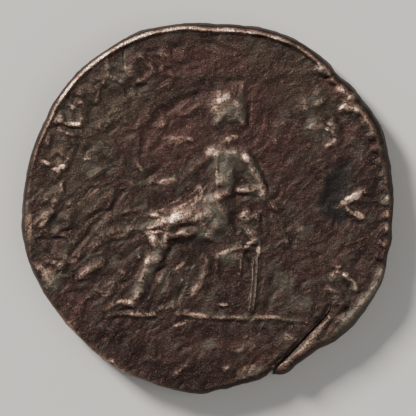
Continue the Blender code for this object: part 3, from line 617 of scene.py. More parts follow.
# The portrait side, seen only from below: a bust facing +X in a wreath, in hundredths of its height
bust = {
    "height": 11.8,
    "foot": (-0.4, -6.1),
    "relief": 0.26,
    "drift": 0.35,
    "steep": 1.7,
    "margin": 2.0,
    "union": 2 * softUnion,  # higher than the other side's, because more of its strokes overlap
    "groundRise": 0.5,
    "strokes": (
        ((-6.0, 74.0), (-1.0, 76.0), 21.0, 20.0, 0.74),
        ((3.0, 74.0), (6.0, 66.0), 15.0, 13.0, 0.82),
        ((2.0, 64.0), (6.0, 56.0), 14.0, 10.0, 0.90),
        ((-3.0, 53.0), (11.0, 47.5), 7.5, 5.5, 0.84),
        ((13.5, 76.0), (16.0, 72.5), 5.0, 4.4, 0.74),
        ((16.5, 69.5), (20.5, 62.5), 3.3, 3.2, 0.74),
        ((16.5, 57.8), (17.2, 56.4), 3.4, 3.0, 0.66),
        ((15.8, 54.0), (16.2, 53.0), 3.2, 3.0, 0.64),
        ((13.0, 48.5), (13.8, 46.8), 5.0, 4.6, 0.72),
        ((-5.0, 50.0), (-6.0, 24.0), 11.0, 13.0, 0.92),
        ((-19.0, 68.0), (-15.0, 50.0), 8.0, 5.0, 0.72),
        ((-8.0, 20.0), (8.0, 16.0), 14.0, 11.0, 0.84),
        ((-10.0, 18.0), (-27.0, 11.0), 11.0, 6.0, 0.78),
        ((8.0, 16.0), (21.0, 10.0), 9.0, 5.0, 0.74),
        ((-5.0, 66.5), (-4.0, 61.5), 3.4, 2.6, 1.0),
        ((9.0, 71.5), (13.5, 71.8), 1.6, 1.4, 0.95),
        ((9.5, 68.6), (12.5, 68.4), 1.3, 1.2, 0.92),
    ),
    "leafCount": 13,
    "wreathStart": (-22.0, 64.0),
    "wreathEnd": (11.0, 80.0),
    "wreathBow": 9.0,
    "leafReach": (3.6, 5.6),
    "leafSides": (1.0, 0.35),
    "leaf": (1.9, 1.9 / 3, 0.95),  # half widths at root and tip, and share of the relief
    "lockCount": 26,
    "lockMiddle": (-4.0, 70.0),
    "lockRows": ((7.0, 12.0), (12.5, 17.5)),
    "lockTurns": (205.0, 40.0),
    "lockTwist": 0.3,  # radians
    "lock": (1.1, 0.7, 0.88),
    "foldCount": 7,
    "foldFeet": ((-22.0, 8.0), (12.0, 10.0)),
    "foldHeads": ((-14.0, 22.0), (12.0, 18.0)),
    "fold": (1.7, 1.0, 0.95),
}


def bustStrokes():
    yield from bust["strokes"]
    for share in np.linspace(0, 1, bust["leafCount"]):
        across, up = between(bust["wreathStart"], bust["wreathEnd"], share)
        root = (across, up + bust["wreathBow"] * math.sin(math.pi * share))
        for side in bust["leafSides"]:
            yield root, (root[0] + bust["leafReach"][0], root[1] + bust["leafReach"][1] * side), *bust["leaf"]
    middle = bust["lockMiddle"]
    for turn in np.linspace(*bust["lockTurns"], bust["lockCount"]):
        for near, far in bust["lockRows"]:
            root = np.add(middle, polar(turn, near))
            yield root, np.add(middle, polar(turn + math.degrees(bust["lockTwist"]), far)), *bust["lock"]
    for share in np.linspace(0, 1, bust["foldCount"]):
        yield between(*bust["foldFeet"], share), between(*bust["foldHeads"], share), *bust["fold"]


def bustRelief(axis):
    x, y = np.meshgrid(axis, axis)
    unit = bust["height"] / 100
    footX, footY = bust["foot"]
    axes = ((axis - footX) / unit, (axis - footY) / unit)
    warpX, warpY = warped(x, y)
    places = (
        (x + (warpX - x) * bust["drift"] - footX) / unit,
        (y + (warpY - y) * bust["drift"] - footY) / unit,
    )
    raised = np.zeros_like(x)
    for window, shape, (share,) in laid(axes, places, (bustStrokes(),), 1.0, bust["steep"], bust["margin"]):
        raised[window] += (bust["relief"] * share * shape) ** bust["union"]
    texture = layeredNoise(warpX, warpY, ground["right"]) * bust["groundRise"]
    return raised ** (1 / bust["union"]), texture


mesh = {
    "squares": 380,  # along each side of the grid that covers the figure's side, twice those below
    "edgeRows": 8,
    "kept": 0.50,  # share of the faces that thinning keeps
    "rasterStep": 0.03,
    "rasterReach": 9.3,
}


# A square's places drawn out to a disc: degrees, and share of the radius
def squareToDisc(across, up):
    share = np.maximum(np.abs(across), np.abs(up))
    safe = np.where(share > 0, share, 1.0)
    wide = np.abs(across) >= np.abs(up)
    lean = np.where(wide, up, across) / safe * (math.pi / 4)
    sideways = np.where(across > 0, lean, math.pi - lean)
    upright = np.where(up > 0, math.pi / 2 - lean, lean - math.pi / 2)
    return np.degrees(np.where(wide, sideways, upright)), share


# The points round the outside of a square grid, in order
def ringOf(count):
    side = np.arange(count)
    full = np.full(count, count)
    none = np.zeros(count, dtype=int)
    columns = np.concatenate([side, full, count - side, none])
    rows = np.concatenate([none, side, full, count - side])
    return rows * (count + 1) + columns


# The block before its shape: a close grid on top, one half as close below, and rows down the edge
def coinPoints():
    count = mesh["squares"]
    coarse = count // 2
    topAcross, topUp = np.meshgrid(np.linspace(-1, 1, count + 1), np.linspace(-1, 1, count + 1))
    lowAcross, lowUp = np.meshgrid(np.linspace(-1, 1, coarse + 1), np.linspace(-1, 1, coarse + 1))
    topRing = ringOf(count)
    ringSize = len(topRing)
    ringAcross = topAcross.ravel()[topRing]
    ringUp = topUp.ravel()[topRing]
    # Every second point of the lower rim lies between two points of the coarse grid
    across = [topAcross.ravel(), lowAcross.ravel(), ringAcross[1::2]]
    up = [topUp.ravel(), lowUp.ravel(), ringUp[1::2]]
    rise = [np.ones(topAcross.size), np.zeros(lowAcross.size), np.zeros(ringSize // 2)]
    extra = topAcross.size + lowAcross.size
    base = np.empty(ringSize, dtype=int)
    base[0::2] = topAcross.size + ringOf(coarse)
    base[1::2] = extra + np.arange(ringSize // 2)
    levels = [base]
    for row in range(1, mesh["edgeRows"]):
        levels.append(extra + ringSize // 2 + (row - 1) * ringSize + np.arange(ringSize))
        across.append(ringAcross)
        up.append(ringUp)
        rise.append(np.full(ringSize, row / mesh["edgeRows"]))
    levels.append(topRing)
    cell = np.arange(count)
    corner = (cell[:, None] * (count + 1) + cell[None, :]).ravel()
    faces = np.stack([corner, corner + 1, corner + count + 2, corner + count + 1], axis=1).tolist()
    for lower, upper in zip(levels[:-1], levels[1:]):
        faces += np.stack([lower, np.roll(lower, -1), np.roll(upper, -1), upper], axis=1).tolist()
    middles = {}
    for place in range(0, ringSize, 2):
        middles[(base[(place + 2) % ringSize], base[place])] = base[place + 1]
    for row in range(coarse):
        for column in range(coarse):
            first = topAcross.size + row * (coarse + 1) + column
            loop = (first, first + coarse + 1, first + coarse + 2, first + 1)
            face = []
            for start, end in zip(loop, loop[1:] + loop[:1]):
                face.append(start)
                if (start, end) in middles:
                    face.append(middles[(start, end)])
            faces.append(face)
    return np.concatenate(across), np.concatenate(up), np.concatenate(rise), faces


# Outline, edge and rim of the hand-struck blank
flan = {
    "halfWidth": 9.0,
    "reverseField": 1.44,
    "obverseField": 0.20,
    "reverseWorn": 1.72,
    "reverseBevel": 0.50,
    "obverseBevel": 0.20,
    "edgeMiddle": 0.42,  # share of the height at which the edge stands out farthest
    # Waves round the edge, their lean up it, their shift, depth and seed
    "edgeRough": ((14, 3, 5, 0, 0.035, 61), (34, 5, -7, 40, 0.02, 62)),
    "outline": (  # degrees, and radius as a share of half the width
        (0, 0.997), (8, 0.998), (15, 1.007), (24, 1.027), (30, 1.025), (35, 1.011), (40, 1.013),
        (45, 0.999), (51, 1.013), (61, 1.020), (70, 1.014), (80, 0.999), (88, 0.991), (100, 1.003),
        (112, 1.016), (125, 1.010), (135, 1.011), (145, 1.006), (152, 0.994), (163, 0.995), (172, 0.991),
        (180, 0.996), (188, 1.008), (195, 1.006), (205, 0.993), (215, 0.985), (225, 0.977), (233, 0.983),
        (241, 0.991), (250, 0.985), (258, 0.991), (267, 0.998), (275, 0.975), (281, 0.961), (286, 0.962),
        (290, 0.951), (295, 0.984), (301, 0.963), (306, 0.961), (315, 0.990), (325, 1.005), (338, 1.015),
        (346, 0.997), (350, 1.004), (355, 0.994),
    ),
    "bevelMarks": (  # degrees, and share of the figure side's bevel
        (0, 0.5), (20, 0.85), (32, 1.0), (45, 0.75), (60, 0.6), (88, 0.72), (100, 0.5), (112, 0.55),
        (125, 0.42), (145, 0.5), (180, 0.5), (190, 0.42), (210, 0.3), (225, 0.14), (255, 0.2), (275, 0.45),
        (300, 0.9), (320, 0.8), (338, 0.35), (350, 0.4),
    ),
    "rimMarks": (  # degrees, and share of the rim's rise that is left
        (0, 0.25), (45, 0.45), (65, 1.0), (95, 0.9), (140, 1.0), (155, 0.45), (170, 0.12), (200, 0.14),
        (260, 0.25), (330, 0.45),
    ),
    "rimRise": 0.13,
    "rimWidth": 0.24,
    "rimUneven": ((0.6, 0.35, 83),),
    "obverseRim": 0.26,
}


# The outline's radius, and how far in from it the figure's side ends
def flanEnds(degrees):
    outline = flan["halfWidth"] * around(flan["outline"], degrees)
    return outline, flan["reverseBevel"] * around(flan["bevelMarks"], degrees)


def edgeShape(outline, bevel, rise, cosine, sine):
    middle = flan["edgeMiddle"]
    over = np.clip((rise - middle) / (1 - middle), 0, 1)
    under = np.clip((middle - rise) / middle, 0, 1)
    radius = outline - bevel * (1 - np.sqrt(1 - over**2))
    radius -= flan["obverseBevel"] * (1 - np.sqrt(1 - under**2))
    for waves, leanX, leanY, shift, depth, seed in flan["edgeRough"]:
        rough = latticeNoise(cosine * waves + rise * leanX + shift, sine * waves + rise * leanY + shift, seed)
        radius += depth * rough * np.sin(np.pi * rise)
    return radius


def rimShape(end, radius):
    return np.cos(np.clip((end - radius) / flan["rimWidth"], 0, 1) * np.pi / 2) ** 2


# The open crack that runs in from the edge: degrees, share of the outline's half width, share of the gap
crack = {
    "gap": 0.20,
    "marks": (
        (286.6, 1.060, 1.15), (290.1, 0.956, 0.95), (292.0, 0.933, 0.80), (296.1, 0.910, 0.62),
        (299.8, 0.894, 0.50), (303.1, 0.880, 0.46), (309.7, 0.861, 0.42), (313.4, 0.857, 0.36),
        (317.1, 0.857, 0.30), (319.8, 0.852, 0.21), (322.7, 0.835, 0.08),
    ),
    "cut": (-1.0, 3.0),  # from below the coin to above it
    "lipRise": 0.07,
    "lipWidth": 0.9,
    "lipHalf": 0.675,
    "lipSteep": 1.7,
}


# The metal pushed up along the outer side of the crack
def lipRelief(x, y):
    out = crack["lipWidth"] / 2
    places = [polar(degrees, flan["halfWidth"] * share + out) for degrees, share, gap in crack["marks"][1:]]
    half = crack["lipHalf"]
    return union(*(
        crack["lipRise"] * strokeShape(x, y, start, end, half, half, crack["lipSteep"])
        for start, end in zip(places[:-1], places[1:])
    ))


def crackCutter():
    middles = [polar(degrees, flan["halfWidth"] * share) for degrees, share, gap in crack["marks"]]
    left = []
    right = []
    for index, (x, y) in enumerate(middles):
        before = middles[max(index - 1, 0)]
        after = middles[min(index + 1, len(middles) - 1)]
        runX, runY = after[0] - before[0], after[1] - before[1]
        half = crack["gap"] * crack["marks"][index][2] / 2 / math.hypot(runX, runY)
        left.append((x - runY * half, y + runX * half))
        right.append((x + runY * half, y - runX * half))
    count = len(middles)
    high = 2 * count  # from a point of the lower outline to the one above it
    points = [(x * mm, y * mm, z * mm) for z in crack["cut"] for x, y in left + right]
    faces = []
    for near in range(count - 1):
        far = near + 1
        nearRight, farRight = near + count, far + count
        faces.append((near, far, farRight, nearRight))
        faces.append((nearRight + high, farRight + high, far + high, near + high))
        faces.append((near, near + high, far + high, far))
        faces.append((farRight, farRight + high, nearRight + high, nearRight))
    last = count - 1
    faces.append((count, count + high, high, 0))
    faces.append((last, last + high, last + count + high, last + count))
    shape = bpy.data.meshes.new("crackCutter")
    shape.from_pydata(points, [], faces)
    shape.validate()
    cutter = bpy.data.objects.new("crackCutter", shape)
    bpy.context.scene.collection.objects.link(cutter)
    return cutter


def coinBlock():
    axis = np.arange(-mesh["rasterReach"], mesh["rasterReach"] + mesh["rasterStep"] / 2, mesh["rasterStep"])
    relief = reverseRelief(axis)
    bustRaised, bustTexture = bustRelief(axis)
    print("stage: relief drawn")
    across, up, rise, faces = coinPoints()
    degrees, share = squareToDisc(across, up)
    cosine, sine = np.cos(np.radians(degrees)), np.sin(np.radians(degrees))
    outline, bevel = flanEnds(degrees)
    topEnd, lowEnd = outline - bevel, outline - flan["obverseBevel"]
    topRadius, lowRadius = topEnd * share, lowEnd * share
    topX, topY = topRadius * cosine, topRadius * sine
    lowX, lowY = lowRadius * cosine, lowRadius * sine
    rim = flan["rimRise"] * around(flan["rimMarks"], degrees) * rimShape(topEnd, topRadius)
    rim *= 1 + patches(topX, topY, flan["rimUneven"])
    topHeight = union(sampled(relief["raised"], topX, topY, axis), rim, lipRelief(topX, topY))
    topHeight += sampled(relief["ground"], topX, topY, axis)
    top = np.minimum(flan["reverseField"] + topHeight, flan["reverseWorn"])
    lowRim = flan["obverseRim"] * rimShape(lowEnd, lowRadius)
    lowHeight = union(sampled(bustRaised, lowX, lowY, axis), lowRim) + sampled(bustTexture, lowX, lowY, axis)
    low = np.maximum(flan["obverseField"] - lowHeight, 0)
    radius = edgeShape(outline, bevel, rise, cosine, sine)
    radius = np.where(rise == 1, topRadius, np.where(rise == 0, lowRadius, radius))
    points = np.stack([radius * cosine, radius * sine, low + (top - low) * rise], axis=1) * mm
    block = bpy.data.meshes.new("denariusCoin")
    block.from_pydata(points.tolist(), [], faces)
    side = block.attributes.new("side", "FLOAT", "POINT")
    side.data.foreach_set("value", np.where(rise == 1, 1.0, np.where(rise == 0, -1.0, 0.0)))
    print("stage: block of", len(faces), "faces")
    return block, relief


def addNode(tree, kind, settings=None, inputs=None, output=0):
    node = tree.nodes.new(kind)
    for name, value in (settings or {}).items():
        setattr(node, name, value)
    for socket, part in (inputs or {}).items():
        if isinstance(part, bpy.types.NodeSocket):
            tree.links.new(part, node.inputs[socket])
        else:
            node.inputs[socket].default_value = part
    return node.outputs if output is None else node.outputs[output]


# Rings of short strokes that Geometry Nodes raise on a face, in metres; a bead is a very short stroke
rings = {
    "reverse border": {
        "Row Radius": 8.60 * mm, "Count": 16, "First Angle": -16.0, "Sweep": 66.0,
        "Stroke Length": 0.10 * mm, "Lean": 0.0, "Width": 0.46 * mm, "Rise": 0.15 * mm,
        "Wear": 0.9, "Side": 1.0, "Seed": 4,
    },
    "obverse border": {
        "Row Radius": 8.62 * mm, "Count": 76, "First Angle": -150.0, "Sweep": 320.0,
        "Stroke Length": 0.05 * mm, "Lean": 0.0, "Width": 0.42 * mm, "Rise": 0.12 * mm,
        "Wear": 0.5, "Side": -1.0, "Seed": 7,
    },
    "obverse legend": {
        "Row Radius": 7.1 * mm, "Count": 22, "First Angle": 290.0, "Sweep": 320.0,
        "Stroke Length": 1.2 * mm, "Lean": 58.0, "Width": 0.46 * mm, "Rise": 0.11 * mm,
        "Wear": 0.4, "Side": -1.0, "Seed": 9,
    },
}
ringWear = {"leanStep": 2.4, "shortest": 0.55, "patches": 0.9 / mm}


def ringTree(material):
    tree = bpy.data.node_groups.new("raisedRing", "GeometryNodeTree")
    tree.interface.new_socket("Geometry", in_out="INPUT", socket_type="NodeSocketGeometry")
    for name, value in rings["reverse border"].items():
        kind = "NodeSocketInt" if isinstance(value, int) else "NodeSocketFloat"
        tree.interface.new_socket(name, in_out="INPUT", socket_type=kind)
    tree.interface.new_socket("Geometry", in_out="OUTPUT", socket_type="NodeSocketGeometry")
    known = {socket.name: socket for socket in addNode(tree, "NodeGroupInput", output=None)}
    known["index"] = addNode(tree, "GeometryNodeInputIndex")
    known["chance"] = addNode(
        tree, "FunctionNodeRandomValue", {"data_type": "FLOAT"},
        {2: ringWear["shortest"], 3: 1.0, "Seed": known["Seed"]}, 1,
    )
    # Each step: its name, what it does, and one or two numbers or earlier steps
    placing = (
        ("last", "SUBTRACT", "Count", 1.0),
        ("divisor", "MAXIMUM", "last", 1.0),
        ("share", "DIVIDE", "index", "divisor"),
        ("swept", "MULTIPLY", "Sweep", "share"),
        ("degrees", "ADD", "First Angle", "swept"),
        ("angle", "RADIANS", "degrees"),
        ("cosine", "COSINE", "angle"),
        ("sine", "SINE", "angle"),
        ("across", "MULTIPLY", "Row Radius", "cosine"),
        ("up", "MULTIPLY", "Row Radius", "sine"),
        ("leanPlace", "MULTIPLY", "index", ringWear["leanStep"]),
        ("leanShare", "SINE", "leanPlace"),
        ("leanMost", "RADIANS", "Lean"),
        ("lean", "MULTIPLY", "leanMost", "leanShare"),
        ("leaning", "ADD", "angle", "lean"),
        ("length", "MULTIPLY", "Stroke Length", "chance"),
    )
    for name, operation, *parts in placing:
        inputs = {place: known.get(part, part) for place, part in enumerate(parts)}
        known[name] = addNode(tree, "ShaderNodeMath", {"operation": operation}, inputs)
    place = addNode(tree, "ShaderNodeCombineXYZ", None, {0: known["across"], 1: known["up"]})
    points = addNode(tree, "GeometryNodePoints", None, {"Count": known["Count"], "Position": place})
    stroke = addNode(
        tree, "GeometryNodeMeshLine", {"mode": "END_POINTS"},
        {"Count": 2, "Start Location": (-0.5, 0.0, 0.0), "Offset": (0.5, 0.0, 0.0)},
    )
    rotation = addNode(tree, "ShaderNodeCombineXYZ", None, {2: known["leaning"]})
    scale = addNode(tree, "ShaderNodeCombineXYZ", None, {0: known["length"], 1: 1.0, 2: 1.0})
    strokes = addNode(
        tree, "GeometryNodeInstanceOnPoints", None,
        {"Points": points, "Instance": stroke, "Rotation": rotation, "Scale": scale},
    )
    lines = addNode(tree, "GeometryNodeRealizeInstances", None, {0: strokes})
    position = addNode(tree, "GeometryNodeInputPosition")
    split = addNode(tree, "ShaderNodeSeparateXYZ", None, {0: position}, None)
    flat = addNode(tree, "ShaderNodeCombineXYZ", None, {0: split[0], 1: split[1]})
    known["near"] = addNode(
        tree, "GeometryNodeProximity", {"target_element": "EDGES"},
        {0: lines, "Sample Position": flat}, "Distance",
    )
    known["worn"] = addNode(
        tree, "ShaderNodeTexNoise", {"noise_dimensions": "4D"},
        {"Vector": flat, "W": known["Seed"], "Scale": ringWear["patches"], "Detail": 1.0},
    )
    known["markedSide"] = addNode(
        tree, "GeometryNodeInputNamedAttribute", {"data_type": "FLOAT"}, {"Name": "side"}
    )
    raising = (
        ("half", "MULTIPLY", "Width", 0.5),
        ("away", "DIVIDE", "near", "half"),
        ("awaySquared", "MULTIPLY", "away", "away"),
        ("drop", "SUBTRACT", 1.0, "awaySquared"),
        ("dome", "MAXIMUM", "drop", 0.0),
        ("lost", "MULTIPLY", "Wear", "worn"),
        ("left", "SUBTRACT", 1.0, "lost"),
        ("sameSide", "MULTIPLY", "markedSide", "Side"),
        ("ours", "GREATER_THAN", "sameSide", 0.5),
        ("high", "MULTIPLY", "Rise", "dome"),
        ("leftHere", "MULTIPLY", "left", "ours"),
        ("rise", "MULTIPLY", "high", "leftHere"),
        ("outward", "MULTIPLY", "rise", "Side"),
    )
    for name, operation, *parts in raising:
        inputs = {place: known.get(part, part) for place, part in enumerate(parts)}
        known[name] = addNode(tree, "ShaderNodeMath", {"operation": operation}, inputs)
    offset = addNode(tree, "ShaderNodeCombineXYZ", None, {2: known["outward"]})
    raised = addNode(tree, "GeometryNodeSetPosition", None, {"Geometry": known["Geometry"], "Offset": offset})
    real = addNode(tree, "GeometryNodeRealizeInstances", None, {0: raised})
    finish = addNode(tree, "GeometryNodeSetMaterial", None, {0: real, "Material": material})
    addNode(tree, "NodeGroupOutput", None, {0: finish}, None)
    return tree


# Turns the object's live modifiers into its plain mesh
def keepResult(thing):
    bpy.context.view_layer.update()
    result = bpy.data.meshes.new_from_object(thing.evaluated_get(bpy.context.evaluated_depsgraph_get()))
    thing.modifiers.clear()
    thing.data = result


def raiseRings(coin, material):
    tree = ringTree(material)
    identifiers = {item.name: item.identifier for item in tree.interface.items_tree if item.in_out == "INPUT"}
    for name, values in rings.items():
        modifier = coin.modifiers.new(name, "NODES")
        modifier.node_group = tree
        for label, value in values.items():
            modifier[identifiers[label]] = value
    keepResult(coin)
    points = np.empty(len(coin.data.vertices) * 3)
    coin.data.vertices.foreach_get("co", points)
    points[2::3] = np.clip(points[2::3], 0.0, flan["reverseWorn"] * mm)
    coin.data.vertices.foreach_set("co", points)
    print("stage: rings raised")


def thinAndCrack(coin):
    thinning = coin.modifiers.new("thinning", "DECIMATE")
    thinning.ratio = mesh["kept"]
    cutter = crackCutter()
    split = coin.modifiers.new("crack", "BOOLEAN")
    split.operation = "DIFFERENCE"
    split.solver = "EXACT"
    split.object = cutter
    keepResult(coin)
    bpy.data.objects.remove(cutter)
    coin.data.shade_smooth()
